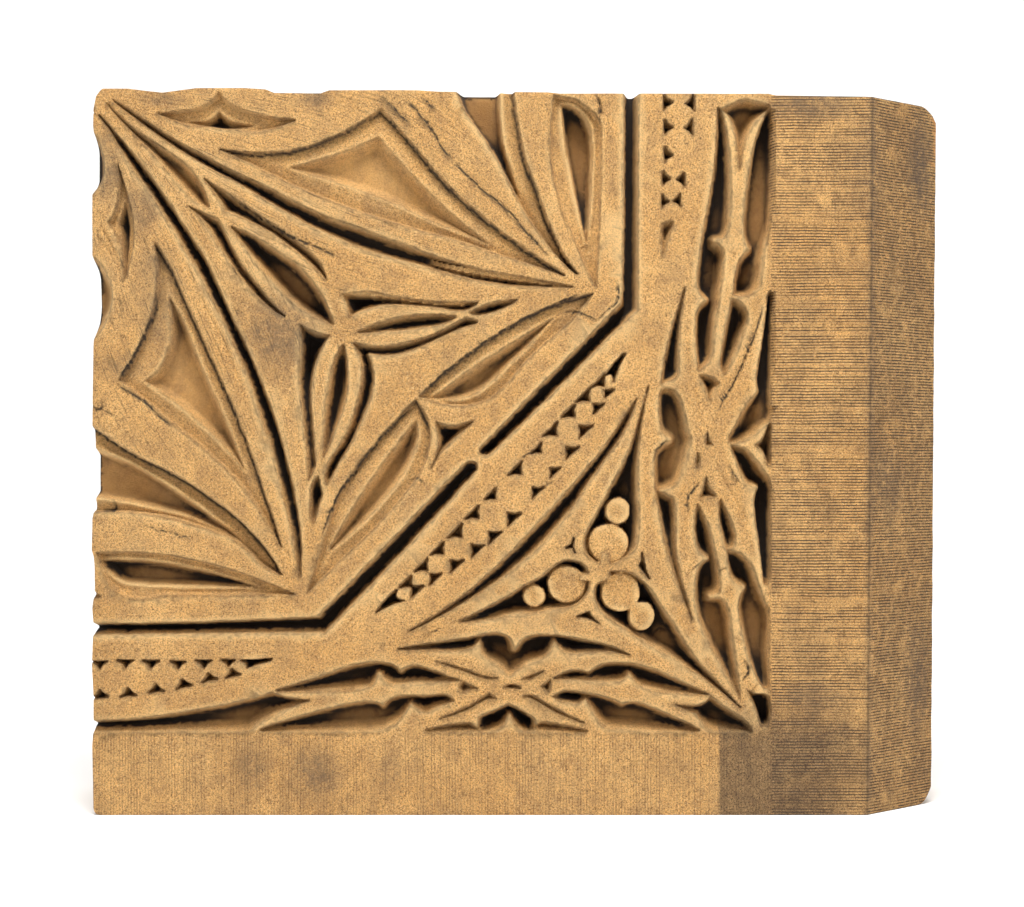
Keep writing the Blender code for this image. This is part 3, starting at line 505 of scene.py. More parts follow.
# Scratches, creases and flutes on the face: how deep, half how wide, and the points on the way.
LINES = [
    (0.8, 1.4, [(17.5, 312.8), (25, 307.8), (38.3, 299.5), (48.3, 289.5), (58.3, 282)]),
    (0.9, 1.5, [(46.2, 378.7), (45, 366.2), (39.2, 352), (32.5, 337), (26.7, 327.8), (19.2, 316.2)]),
    (1.6, 2.4, [(4.2, 428.7), (11, 416), (17.5, 403.7), (19.2, 392)]),
    (1.4, 2.2, [(0, 422.8), (8, 413), (14.2, 402)]),
    (1.0, 2.0, [(64.2, 400.3), (70, 389), (75, 379.5), (78.3, 372), (90.8, 350.3), (101.7, 325.3),
                (109.2, 303.7)]),
    (1.0, 1.6, [(210, 524), (224, 507.5), (231.7, 501)]),
    (1.0, 1.6, [(228, 520), (242, 503), (253, 485), (261, 475.5)]),
    (0.8, 1.3, [(238, 523), (249, 512)]),
    (1.1, 1.5, [(100, 450.7), (110, 442.1), (142.9, 420.7), (153.6, 415.7), (164.3, 411.4),
                (176.4, 405.4)]),
    (0.9, 1.4, [(262, 474), (281, 455), (300.8, 438.7), (318.3, 418.7), (330.8, 406.2)]),
    (1.4, 1.8, [(330.8, 521), (330.4, 498.7), (331.7, 477.8), (335, 457), (340, 437.8),
                (348.3, 412)]),
    (2.6, 1.6, [(364.5, 522), (368, 514), (367.5, 505)]),
    (1.2, 1.5, [(240, 306.2), (255, 321.2), (267.5, 330.3), (281.7, 341.2), (300, 352.8),
                (313.3, 360.3), (333.3, 369.5), (351.7, 377.8)]),
    (1.2, 1.5, [(230.8, 295), (213.3, 278.3), (200, 262.5), (190.8, 250), (180, 235),
                (171.7, 217.5), (166.7, 203.3)]),
    (0.8, 1.3, [(339.5, 365), (352, 365), (365, 358.7)]),
    (0.7, 1.3, [(365, 358.7), (373.3, 366.2), (380.4, 373.2), (380.4, 387)]),
    (0.8, 1.2, [(319.2, 264.2), (314, 261), (310, 258.3)]),
    (0.8, 1.2, [(327.1, 237.9), (331, 240.5), (334.2, 243)]),
    (0.6, 3.0, [(45, 292), (66, 277), (87, 260), (112, 233), (125, 215)]),
    (0.7, 1.0, [(40, 209.5), (56, 205), (72, 201)]),
    (1.1, 2.0, [(430.4, 342.8), (432.1, 332), (434.2, 318.7), (436.7, 303.7), (439.2, 291.2),
                (440.4, 283.7)]),
    (0.9, 1.2, [(485.8, 368.7), (481.7, 355), (475.8, 338.7), (469.2, 323.7), (460.8, 307),
                (453.3, 293.7)]),
    (1.1, 2.0, [(480.8, 348.7), (472, 328), (462, 306), (451.7, 285.3)]),
    (1.1, 2.0, [(451.7, 258.3), (453.3, 250), (460, 238.3), (467.5, 224.2), (475.8, 206.7)]),
    (0.8, 1.1, [(460.8, 254.2), (465, 247), (470, 240)]),
    (1.0, 1.8, [(468.3, 220), (476.7, 199.2), (483.3, 178.3)]),
    (1.0, 1.8, [(427.9, 211.7), (427.1, 203.3), (427.9, 190.8)]),
    (1.0, 1.6, [(440, 241.7), (431.7, 230), (431.7, 220)]),
    (1.0, 1.2, [(406.7, 264), (412, 268), (416.7, 272.5)]),
    (1.0, 1.2, [(434, 178), (437.5, 181), (441, 184)]),
    (1.6, 0.9, [(454.2, 177.5), (457, 178.2), (460, 179.6)]),
    (2.2, 2.2, [(466.7, 128), (468.5, 126), (470.4, 125)]),
    (1.8, 1.6, [(472.5, 112), (475.8, 104.5), (471, 98)]),
    (1.6, 2.2, [(488, 160), (489.5, 150), (488.5, 135)]),
    (1.4, 2.0, [(476, 86), (480, 92), (488, 100)]),
    (0.9, 1.0, [(210, 125), (211.5, 125.3), (213, 125.5)]),
    (0.9, 1.0, [(245, 133), (249, 134.5), (253, 136)]),
    (1.4, 1.6, [(-1, 297), (2, 294.5), (6, 295), (6, 301)]),
    (0.7, 1.0, [(6, 294.5), (11, 292), (16, 289.5)]),
    (1.3, 1.5, [(3.5, 221), (9, 220.5), (16, 222), (15, 228)]),
    (1.5, 1.5, [(107, 289), (107.5, 289.2), (108, 289)]),
    (1.5, 1.5, [(224.5, 225.8), (225, 226), (225.5, 225.8)]),
    (1.0, 1.2, [(231, 243), (236, 244.5), (241, 241)]),
    (1.8, 2.0, [(212, 275.5), (213, 275.8), (214, 275.5)]),
    (1.5, 2.0, [(340, 252), (341, 252.5), (342, 252.5)]),
    (1.6, 1.2, [(407, 129), (413, 134), (417, 132)]),
]

# Thin ledges that stand in the deep hollows beside their rims: how deep, half how wide, the way.
LEDGES = [
    (4.0, 1.0, [(240, 403.6), (256.7, 398.4), (273.3, 395), (290, 392.2), (306.7, 389.6),
                (323.3, 387.4), (340, 385.4)]),
    (4.0, 1.0, [(172, 378), (183.3, 379), (197, 379.2), (211.7, 377.4), (228.3, 374.8),
                (250, 372.2), (268, 371.4)]),
]

# Cuts between the beads: how deep they are, how far in their walls reach the floor, and for each row
# the way that its cuts open, in degrees, then for each cut its point and how long its sides are.
NOTCH_DEPTH = 12
NOTCH_RUN = 2.4
NOTCH_ROWS = [
    (90, [(4.2, 106, 7.6), (23.2, 106.6, 7.8), (41.8, 106, 8.2), (61.4, 106, 7.8),
          (80.2, 106.6, 7.8), (97.8, 107.8, 6.4)]),
    (-84, [(4.6, 90.4, 7.2), (24.8, 92, 8), (45.2, 95, 7.8)]),
    (-76, [(64.4, 98, 7.6), (83.2, 102.9, 7.8), (100.2, 105.8, 7.2)]),
    (135, [(230.8, 165.2, 8.6), (242.5, 176.7, 9.6), (253.8, 188.8, 9.2), (267.1, 201.2, 9.8),
           (279.3, 215, 9.4), (291.8, 229, 7.6), (310.8, 246.6, 10), (325, 262.5, 7.4),
           (336.3, 275, 10), (348.9, 288.7, 8.8), (360, 299.8, 9.8), (371, 310.6, 9.4)]),
    (-45, [(230.6, 166.4, 8.8), (244, 175.2, 8.6), (259, 184.8, 9.2), (274.4, 196, 9.2),
           (287, 205.6, 9.4), (300.6, 219, 9.6), (318.6, 237.7, 8), (331.5, 251.9, 7.2),
           (342.8, 267.3, 9.6), (352.7, 282.7, 9.4), (362.7, 298.3, 7.8), (371, 308.4, 5.8)]),
    (180, [(419.6, 517, 8), (419.8, 499, 7.4), (420, 479, 7.4), (418.4, 461.8, 7),
           (417.2, 445.2, 6.6)]),
    (4, [(430.2, 516, 7.4), (429, 498.4, 7.6), (423.8, 461, 6.6), (421.2, 445.8, 6.4)]),
]

# Each disc is its centre, half its width and half its height.
DISCS = [
    (380.4, 220.6, 8.7, 9.2), (373.6, 197.3, 14.2, 13.7), (320, 158.9, 7.8, 7.8),
    (343.4, 167.5, 13.8, 13.2), (382.5, 161.5, 14.2, 14), (397.9, 144.2, 9.2, 10.2),
]

# A worn notch in the left edge: its depth, how far in its wall reaches the floor, and its corners.
EDGE_NOTCH = (9, 3.0, [(-3, 162.1), (0.8, 162.1), (5.8, 158.2), (0.4, 157.5), (-3, 157.5)])

# Where rings of points lie on the sides, as shares of the way from the front to the back.
SIDE_LEVELS = (0.02, 0.12, 0.4, 0.7, 0.985, 1.0)


class Wall(Enum):
    """How a hollow's side falls from its rim to its floor."""

    CAST = "rounded at the rim and at the foot"
    LEDGE = "steep, to a band that rises again to a rolled edge"
    SLOPE = "an even slope"


@dataclass(frozen=True)
class Hollow:
    """One sunk shape of the carving, in millimetres."""

    depth: float
    run: float
    outline: Outline
    wall: Wall = Wall.CAST
    slope_power: float = 1.25
    ledge_rise: float = 0.35
    ledge_width: float = 7.0

    def fall(self, distance: np.ndarray) -> np.ndarray:
        """Gives how far down the wall is, as a share of the depth.

        Args:
            distance: How far inside the outline each point lies.

        Returns:
            The shares.
        """
        way = np.clip(distance / self.run, 0, 1)
        if self.wall is Wall.SLOPE:
            return 1 - (1 - way) ** self.slope_power
        fall = 0.5 * way * way * (3 - 2 * way) + 0.5 * (1 - (1 - way) ** 2)
        if self.wall is Wall.LEDGE:
            fall -= self.ledge_rise * np.clip((distance - self.run) / self.ledge_width, 0, 1)
        return fall


@dataclass(frozen=True)
class BlockSizes:
    """The block's own sizes, in millimetres."""

    front_width: float = 565.0  # the front before the splay
    foot_narrowing: float = 3.6  # how much narrower it is at the foot
    width: float = 622.0
    height: float = 524.0  # at the star, below the highest of the top edge
    depth: float = 150.0
    splay: float = 57.0
    low_chip: Point = (15.0, 18.0)  # the splay's chip at the foot: how wide and how high
    high_chip: Point = (13.0, 11.0)  # and the one at the top
    field_right: float = 489.0  # where the carving ends at the right,
    field_foot: float = 61.0  # and where it ends below
    comb_pitch: float = 2.117  # 12 lines to the inch
    star: Point = (0.0, 524.0)  # the ribs run from here
    tips: tuple[Point, Point] = ((362.0, 384.0), (152.0, 165.0))  # to here
    outer_wall: float = 32.0  # the walls round the cells
    web: float = 28.0  # and between them
    cell_floor: float = 55.0  # how far back from the front the cells' floors lie
    cell_columns: int = 3
    cell_rows: int = 2
    cell_field: float = 521.0  # the height that the cells and their walls fill
    cell_corner: float = 7.0
    cell_foot: float = 3.0  # how far a cell's foot is filled in
    back_round: float = 1.5
    # How high the worn top edge stands at places across, and how far in the left edge at places up.
    top_edge: tuple[Point, ...] = (
        (0, 513), (1, 521), (3.4, 527), (25, 527), (36, 525.6), (50, 524), (64, 526), (75, 527.4),
        (110, 527.4), (125, 526.4), (131, 523.8), (165, 523.5), (171, 525.8), (235, 525.8),
        (250, 524.8), (294, 524.5), (330, 524.3), (338, 523.4), (397, 523.4), (490, 523.2),
        (494, 522), (565, 521), (622, 521),
    )
    left_edge: tuple[Point, ...] = (
        (0, 5), (1.2, 1.4), (5, 0), (30, -0.4), (50, -0.8), (61, 0), (85, 0), (110, -1.1),
        (128, -0.4), (140, 0), (150, -0.9), (164, 1.1), (178, 1.1), (187, 0.4), (192, -1.1),
        (215, -0.8), (224, 1.2), (264, 1.2), (280, -0.8), (340, 0), (354, 0.7), (370, 1.8),
        (390, 1.2), (402, -0.8), (450, -0.9), (455, 0.4), (494, 0.4), (500, -0.3), (512, 0),
        (522, 1), (527, 3.4),
    )


@dataclass(frozen=True)
class Wear:
    """How the carving's walls stand and how its edges have worn, in millimetres or as shares."""

    growth: float = 0.8  # how far outside its outline a hollow's wall starts
    recess_growth: float = 0.2  # the same for a recess
    notch_growth: float = 1.1  # and for a cut between beads
    rim_drop: float = 0.35  # how far a hollow's rim has worn down
    rim_reach: float = 1.6  # how far outside the hollow that shows
    margin_band: float = 10.0  # beside the right margin, where walls stand steeper
    foot_band: float = 8.0  # above the lower margin
    band_growth: float = 1.2  # how much further out walls start in both bands
    margin_lean: float = 0.5  # how far walls run at the right margin, as a share
    lower_lean: float = 0.5  # how much further a hollow's lower wall runs, as a share
    roll_height: float = 1.3  # how high the rolled edge round a recess stands
    roll_out: float = 1.5  # how far outside the recess it lies
    roll_half: float = 2.2  # half its width
    roll_from: float = 3.0  # only a recess in a hollow at least this deep has one
    rim_line_in: float = 0.3  # how far in from a rim its dark line lies
    dark_line_half: float = 1.7  # half the width of that dark line, and of a crease's painted shade
    crease_share: float = 0.7  # where a ledge's crease lies, as a share of its wall's run
    end_fade: float = 6.0  # how far a scratch fades at its ends
    end_depth: float = 0.45  # how deep it still is there, as a share
    hairline: float = 1.8  # half the width of the widest scratch that gets painted shade along it
    ledge_foot: float = 16.0  # how much deeper a thin ledge starts
    ledge_rising: float = 24.0  # how far along it has reached its own height
    disc_growth: float = 1.2  # how far outside its given size a disc's side starts
    disc_top: float = 3.6  # how deep a disc's top lies
    disc_round: float = 0.9  # how far a disc's edge is rounded down
    disc_round_width: float = 2.2  # how far in from its side that starts
    disc_side: float = 1.3  # how far its side runs out
    outer_drop: float = 0.9  # how far the block's outer edges have worn
    outer_reach: float = 3.2  # how far in from them that shows
    arris_drop: float = 0.5  # how far the arris between front and splay has worn
    arris_half: float = 4.0  # half the width that this shows
    streak_height: float = 0.16  # how high the streaks along the ribs stand


def bend(points: Outline, gap: float) -> Outline:
    """Follows the smooth curve through some points.

    Args:
        points: The points to pass through. Two points make a straight side.
        gap: About how far apart the new points lie, in millimetres.

    Returns:
        The new points, without the last.
    """
    if len(points) == 2:
        return points[:1]
    # A point is added past each end, so that the bend runs on there.
    before = [2.5 * a - 2 * b + 0.5 * c for a, b, c in zip(*points[:3])]
    after = [2.5 * a - 2 * b + 0.5 * c for a, b, c in zip(*points[:-4:-1])]
    knots = [before, *points, after]
    curve = []
    for i in range(1, len(knots) - 2):
        p0, p1, p2, p3 = knots[i - 1:i + 3]
        d0, d1, d2 = [max(math.dist(a, b), 1e-6) ** 0.5 for a, b in ((p0, p1), (p1, p2), (p2, p3))]
        steps = max(1, round(math.dist(p1, p2) / gap))
        for step in range(steps):
            t = step / steps
            point = []
            for a, b, c, d in zip(p0, p1, p2, p3):
                leaving = ((b - a) / d0 - (c - a) / (d0 + d1)) * d1 + (c - b)
                arriving = (c - b) + ((d - c) / d2 - (d - b) / (d1 + d2)) * d1
                rise = t * t * (3 - 2 * t)
                point.append(
                    b + (c - b) * rise + leaving * t * (1 - t) ** 2 - arriving * t * t * (1 - t)
                )
            curve.append(tuple(point))
    return curve


def outline(sides: list[Outline], gap: float = 3.0) -> Outline:
    """Joins a hollow's sides into its closed outline.

    Args:
        sides: Each side's first corner and the points that it bends through.
        gap: About how far apart the points lie on a bent side.

    Returns:
        The outline's points, in order.
    """
    points = []
    for side, following in zip(sides, sides[1:] + sides[:1]):
        points += bend([*side, following[0]], gap)
    return points


def notch(u: float, v: float, side: float, opens: float) -> Outline:
    """Outlines a square-cornered cut between two beads.

    Args:
        u: Its point, across.
        v: Its point, up.
        side: The length of its two equal sides.
        opens: The way it opens, in degrees.

    Returns:
        Its point and its sides, which the round beads make swell inwards.
    """
    points = [(u, v)]
    for turn, share in ((-35, 0.55), (-45, 1), (45, 1), (35, 0.55)):
        angle = math.radians(opens + turn)
        reach = side * share
        points.append((u + reach * math.cos(angle), v + reach * math.sin(angle)))
    return points


def smoothed(values: np.ndarray, reach: int) -> np.ndarray:
    """Averages a grid over squares, three times, which is close to a soft blur.

    Args:
        values: The grid.
        reach: Half the square's side, in grid steps.

    Returns:
        The averaged grid.
    """
    for axis in (0, 1) * 3:
        padding = [(0, 0), (0, 0)]
        padding[axis] = (reach + 1, reach)
        total = np.cumsum(np.pad(values, padding, mode="edge"), axis=axis)
        size = 2 * reach + 1
        high = np.take(total, range(size, total.shape[axis]), axis=axis)
        low = np.take(total, range(0, total.shape[axis] - size), axis=axis)
        values = (high - low) / size
    return values


@dataclass
class Noise:
    """Smooth random relief of one grain size, the same on every run."""

    seed: int
    grain: float
    stretch: float = 1.0
    cells: int = 257
    start: Point = (60.3, 70.7)

    def at(self, u: np.ndarray, v: np.ndarray) -> np.ndarray:
        """Gives the noise at some places.

        Args:
            u: Places across, in millimetres.
            v: Places up, in millimetres.

        Returns:
            Values that mostly lie between -1 and 1.
        """
        n = self.cells
        lattice = np.random.default_rng(self.seed).uniform(-1, 1, (n, n))
        x = u / self.grain + self.start[0]
        y = v / (self.grain * self.stretch) + self.start[1]
        x0 = np.floor(x).astype(int)
        y0 = np.floor(y).astype(int)
        fx = x - x0
        fy = y - y0
        fx = fx * fx * (3 - 2 * fx)
        fy = fy * fy * (3 - 2 * fy)
        a = lattice[x0 % n, y0 % n]
        b = lattice[(x0 + 1) % n, y0 % n]
        c = lattice[x0 % n, (y0 + 1) % n]
        d = lattice[(x0 + 1) % n, (y0 + 1) % n]
        return (a * (1 - fx) + b * fx) * (1 - fy) + (c * (1 - fx) + d * fx) * fy


@dataclass
class Front:
    """The front and the splay as one sheet of points, with the depth that the carving gives each."""

    sizes: BlockSizes
    wear: Wear = Wear()
    reach: float = 12.0  # the greatest distance from a rim that counts
    edge_band: float = 20.0  # how far in the worn top and left edges move points
    arris_band: float = 60.0  # and how far the narrowing front does
    margin_columns: int = 24  # columns of points on the right margin, where it is plain
    splay_columns: int = 20
    shift: float = 5.0  # how far a point of the carving may lie from its column and row
    turn_reach: float = 80.0  # how many millimetres a radian across the ribs counts as
    columns: np.ndarray = field(init=False)
    rows: np.ndarray = field(init=False)
    u: np.ndarray = field(init=False)
    v: np.ndarray = field(init=False)
    w: np.ndarray = field(init=False)
    depth: np.ndarray = field(init=False)
    rim: np.ndarray = field(init=False)
    crease_shade: np.ndarray = field(init=False)
    lift: np.ndarray = field(init=False)
    wobble: np.ndarray = field(init=False)

    def __post_init__(self) -> None:
        """Lays the sheet out: half a comb line apart, which makes a row of each ridge and furrow."""
        size = self.sizes
        step = size.comb_pitch / 2
        fine_end = size.field_right + 4
        self.columns = np.concatenate([
            np.arange(0, fine_end, step),
            np.linspace(fine_end + 2, size.front_width, self.margin_columns),
            size.front_width + np.linspace(0, size.splay, self.splay_columns)[1:],
        ])
        self.rows = np.linspace(0, size.height, round(size.height / step) + 1)
        u, v = np.meshgrid(self.columns, self.rows, indexing="ij")
        # The points near the top, the left edge and the arris move to the block's real outline.
        band = self.edge_band
        top = np.interp(u, *zip(*size.top_edge))
        high = size.height - band
        v = np.where(v > high, high + (v - high) * (top - high) / band, v)
        left = np.interp(v, *zip(*size.left_edge))
        u = np.where(u < band, left + u * (band - left) / band, u)
        narrowing = size.foot_narrowing * (1 - v / size.height)
        inner = size.front_width - self.arris_band
        u = u - narrowing * np.clip((u - inner) / self.arris_band, 0, 1)
        arris = size.front_width - narrowing
        self.lift = self.chip_lift(u, v)
        v = v + self.lift
        self.u = u
        self.v = v
        self.w = np.clip(u - arris, 0, size.splay)
        self.depth = np.zeros_like(u)
        self.rim = np.zeros_like(u)
        self.crease_shade = np.zeros_like(u)
        # A rim wanders by a quarter of a millimetre, in turns of about 3 and 9 mm.
        self.wobble = 0.22 * Noise(3, 3.1).at(u, v) + 0.25 * Noise(4, 9.0).at(u, v)

    def chip_lift(self, u: np.ndarray, v: np.ndarray) -> np.ndarray:
        """Finds how far the splay's chipped corners move each point up or down.

        Args:
            u: Places across, in millimetres.
            v: Places up, in millimetres.

        Returns:
            The moves, above zero at the foot and below zero at the top.
        """
        size = self.sizes
        high_edge = np.interp(u, *zip(*size.top_edge))
        inward = size.width - u
        # The chips are rough by a quarter, in grains of 2.4 mm, and fade out along the height.
        rough = 1 + 0.25 * Noise(31, 2.4).at(u, v)
        low = size.low_chip[1] * rough * np.clip(1 - inward / size.low_chip[0], 0, 1) ** 2
        down = size.high_chip[1] * rough * np.clip(1 - inward / size.high_chip[0], 0, 1) ** 2
        share = np.clip(v / high_edge, 0, 1)
        return low * (1 - share) ** 6 - down * share ** 6

    def window(self, points: np.ndarray, reach: float) -> tuple[slice, slice]:
        """Finds the part of the sheet near some points.

        Args:
            points: The points.
            reach: How far from them the part goes, in millimetres.

        Returns:
            The part's columns and rows.
        """
        low = points.min(axis=0) - reach - self.shift
        high = points.max(axis=0) + reach + self.shift
        i0, i1 = np.searchsorted(self.columns, (low[0], high[0]))
        j0, j1 = np.searchsorted(self.rows, (low[1], high[1]))
        return slice(i0, i1), slice(j0, j1)

    def gaps(self, points: np.ndarray, part: tuple[slice, slice], reach: float) -> np.ndarray:
        """Measures how far each place in a part of the sheet is from a run of points.

        Args:
            points: The points, each joined to the next by a straight line.
            part: The part of the sheet.
            reach: The greatest distance that matters, in millimetres.

        Returns:
            The distances.
        """
        u = self.u[part]
        v = self.v[part]
        nearest = np.full(u.shape, reach)
        columns = self.columns[part[0]]
        rows = self.rows[part[1]]
        slack = reach + self.shift
        for (u0, v0), (u1, v1) in zip(points, points[1:]):
            i0, i1 = np.searchsorted(columns, (min(u0, u1) - slack, max(u0, u1) + slack))
            j0, j1 = np.searchsorted(rows, (min(v0, v1) - slack, max(v0, v1) + slack))
            near = (slice(i0, i1), slice(j0, j1))
            across = u[near] - u0
            up = v[near] - v0
            length = (u1 - u0) ** 2 + (v1 - v0) ** 2
            along = np.clip((across * (u1 - u0) + up * (v1 - v0)) / max(length, 1e-9), 0, 1)
            gap = np.hypot(across - along * (u1 - u0), up - along * (v1 - v0))
            nearest[near] = np.minimum(nearest[near], gap)
        return nearest

    def inside(self, shape: Outline, reach: float) -> tuple[tuple[slice, slice], np.ndarray]:
        """Measures how far inside a closed outline each nearby point lies.

        Args:
            shape: The outline.
            reach: The greatest distance that matters, in millimetres.

        Returns:
            The part of the sheet, and its distances, below zero outside the outline.
        """
        points = np.array(shape + shape[:1], float)
        part = self.window(points, reach)
        u = self.u[part]
        v = self.v[part]
        within = np.zeros(u.shape, bool)
        rows = self.rows[part[1]]
        for (u0, v0), (u1, v1) in zip(points, points[1:]):
            if v0 == v1:
                continue
            j0, j1 = np.searchsorted(rows, (min(v0, v1) - self.shift, max(v0, v1) + self.shift))
            level = v[:, j0:j1]
            crosses = (v0 > level) != (v1 > level)
            edge = u0 + (level - v0) * (u1 - u0) / (v1 - v0)
            within[:, j0:j1] ^= crosses & (u[:, j0:j1] < edge)
        nearest = self.gaps(points, part, reach)
        return part, np.where(within, nearest, -nearest)

    def sink(self, hollow: Hollow, grow: float) -> None:
        """Cuts one hollow with a worn rim, and notes where its rim lies and where its crease gets painted
        shade.

        Args:
            hollow: The hollow.
            grow: How far outside its outline the wall starts, in millimetres.
        """
        size = self.sizes
        wear = self.wear
        part, distance = self.inside(hollow.outline, self.reach)
        across, up = np.gradient(distance)
        steep = np.maximum(np.hypot(across, up), 1e-6)
        lower_wall = np.clip(smoothed(up / steep, 1), 0, 1)
        distance = distance + self.wobble[part] + grow
        start = self.depth[part]
        worn = wear.rim_drop * np.clip(1 + distance / wear.rim_reach, 0, 1) ** 2
        target = np.maximum(hollow.depth, start)
        margin = np.clip((size.field_right - self.u[part]) / wear.margin_band, 0, 1)
        above = np.clip((self.v[part] - size.field_foot) / wear.foot_band, 0, 1)
        distance = distance + wear.band_growth * (1 - np.minimum(margin, above))
        lean = wear.margin_lean + (1 - wear.margin_lean) * margin
        if hollow.wall is Wall.CAST:
            lean = lean * (1 + wear.lower_lean * lower_wall)
        distance = np.where(distance > 0, distance / lean, distance)
        roll = 0.0
        if hollow.wall is Wall.SLOPE:
            beside = np.clip(1 - np.abs(distance + wear.roll_out) / wear.roll_half, 0, 1)
            roll = wear.roll_height * beside * (start > wear.roll_from)
        fallen = start + (target - start) * hollow.fall(distance) - roll
        self.depth[part] = np.maximum(fallen, worn)
        rim = np.clip(1 - np.abs(distance - wear.rim_line_in) / wear.dark_line_half, 0, 1)
        self.rim[part] = np.maximum(self.rim[part], rim)
        if hollow.wall is Wall.LEDGE:
            middle = hollow.run * wear.crease_share
            foot = np.clip(1 - np.abs(distance - middle) / wear.dark_line_half, 0, 1)
            # The crease is painted shade: darkest under a wall that faces down, and more where it faces
            # left than right.
            turned = (-up - 0.5 * across) / steep
            foot = foot * np.clip(0.35 + 0.75 * turned, 0.1, 1)
            self.crease_shade[part] = np.maximum(self.crease_shade[part], foot)

    def scratch(self, depth: float, half: float, points: Outline) -> None:
        """Cuts a crease or a flute that fades out at both ends.

        Args:
            depth: How deep it is, in millimetres.
            half: Half its width.
            points: The points that it bends through.
        """
        wear = self.wear
        way = np.array(bend(points, 2.0) + points[-1:], float)
        part = self.window(way, half)
        gap = self.gaps(way, part, half) / half
        ends = np.minimum(np.hypot(self.u[part] - way[0, 0], self.v[part] - way[0, 1]),
                          np.hypot(self.u[part] - way[-1, 0], self.v[part] - way[-1, 1]))
        fade = wear.end_depth + (1 - wear.end_depth) * np.clip(ends / wear.end_fade, 0, 1)
        self.depth[part] += depth * fade * (1 - gap * gap) ** 2
        # A thin scratch gets painted shade along it.
        if half < wear.hairline:
            self.crease_shade[part] = np.maximum(self.crease_shade[part], fade * (1 - gap))

    def raise_ledge(self, depth: float, half: float, points: Outline) -> None:
        """Leaves a thin ledge standing beside a deep hollow's rim.

        Args:
            depth: How deep its top lies, in millimetres.
            half: Half its width.
            points: The points that it bends through.
        """
        reach = 5
        wear = self.wear
        way = np.array(bend(points, 2.0) + points[-1:], float)
        part = self.window(way, reach)
        over = np.clip(self.gaps(way, part, reach) - half, 0, reach)
        start = np.hypot(self.u[part] - way[0, 0], self.v[part] - way[0, 1])
        sinking = wear.ledge_foot * np.clip(1 - start / wear.ledge_rising, 0, 1) ** 2
        self.depth[part] = np.minimum(self.depth[part], depth + sinking + over ** 2 * 5)

    def raise_disc(self, u: float, v: float, half_width: float, half_height: float) -> None:
        """Leaves a flat disc standing on the trefoil's floor.

        Args:
            u: Its centre, across.
            v: Its centre, up.
            half_width: Half its width.
            half_height: Half its height.
        """
        wear = self.wear
        part = self.window(np.array([(u, v)]), max(half_width, half_height))
        ring = np.hypot((self.u[part] - u) / half_width, (self.v[part] - v) / half_height)
        edge = (1 - ring) * min(half_width, half_height) + self.wobble[part] + wear.disc_growth
        top = wear.disc_top + wear.disc_round * np.clip(1 - edge / wear.disc_round_width, 0, 1) ** 2
        start = self.depth[part]
        rise = np.clip(edge / wear.disc_side, 0, 1) ** 0.5
        self.depth[part] = np.where(top < start, start + (top - start) * rise, start)

    def carve(self) -> None:
        """Cuts all of the carving."""
        wear = self.wear
        for name, depth, run, sides in ROSETTE + BORDER + RIGHT_FRIEZE + BOTTOM_FRIEZE + TRIANGLES:
            # A petal or a run-out at the left edge has a rolled edge inside its wall.
            wall = Wall.LEDGE if "petal" in name or "run-out" in name else Wall.CAST
            self.sink(Hollow(depth, run, outline(sides), wall), wear.growth)
        for _, depth, run, sides in RECESSES:
            self.sink(Hollow(depth, run, outline(sides), Wall.SLOPE), wear.recess_growth)
        for ledge in LEDGES:
            self.raise_ledge(*ledge)
        for opens, cuts in NOTCH_ROWS:
            for u, v, side in cuts:
                cut = Hollow(NOTCH_DEPTH, NOTCH_RUN, notch(u, v, side, opens))
                self.sink(cut, wear.notch_growth)
        self.sink(Hollow(*EDGE_NOTCH), wear.growth)
        for disc in DISCS:
            self.raise_disc(*disc)
        for line in LINES:
            self.scratch(*line)

    def grain_of_ribs(self) -> tuple[np.ndarray, np.ndarray]:
        """Finds the way that the ribs run: on arcs from the star to one of the two tips.

        Returns:
            How far across the ribs and how far along them each point is, in millimetres.
        """
        size = self.sizes
        star_u = self.u - size.star[0]
        star_v = self.v - size.star[1]
        upper = star_u + star_v > 0
        tip_u = self.u - np.where(upper, size.tips[0][0], size.tips[1][0])
        tip_v = self.v - np.where(upper, size.tips[0][1], size.tips[1][1])
        across = np.arctan2(-tip_v, -tip_u) - np.arctan2(star_v, star_u)
        return across * self.turn_reach, np.hypot(tip_u, tip_v)

    def weather(self) -> None:
        """Adds the worn outer edges and the clay's unevenness."""
        size = self.sizes
        wear = self.wear
        u, v = self.u, self.v
        outer = np.minimum(np.minimum(v, u), np.interp(u, *zip(*size.top_edge)) - v)
        worn = np.clip(1 - (outer + 3 * self.wobble) / wear.outer_reach, 0, 1) ** 2
        from_arris = np.abs(u - self.w - size.front_width + 2)
        arris = np.clip(1 - from_arris / wear.arris_half, 0, 1)
        worn_down = wear.outer_drop * worn + wear.arris_drop * arris
        # Hand pressing leaves swells about 17 and 6 mm across, and the sand a roughness of 2 mm.
        swells = 0.28 * Noise(21, 17).at(u, v) + 0.16 * Noise(22, 6).at(u, v)
        self.depth += worn_down + swells + 0.09 * Noise(23, 1.9).at(u, v)
        # The modelling tool left streaks along the ribs, which stop at the plain margins.
        streaks = Noise(24, 1.0, 14).at(*self.grain_of_ribs())
        carved = np.clip((size.field_right - u) / 4, 0, 1) * np.clip((v - size.field_foot) / 4, 0, 1)
        self.depth += wear.streak_height * carved * streaks
        self.depth = np.maximum(self.depth, 0)


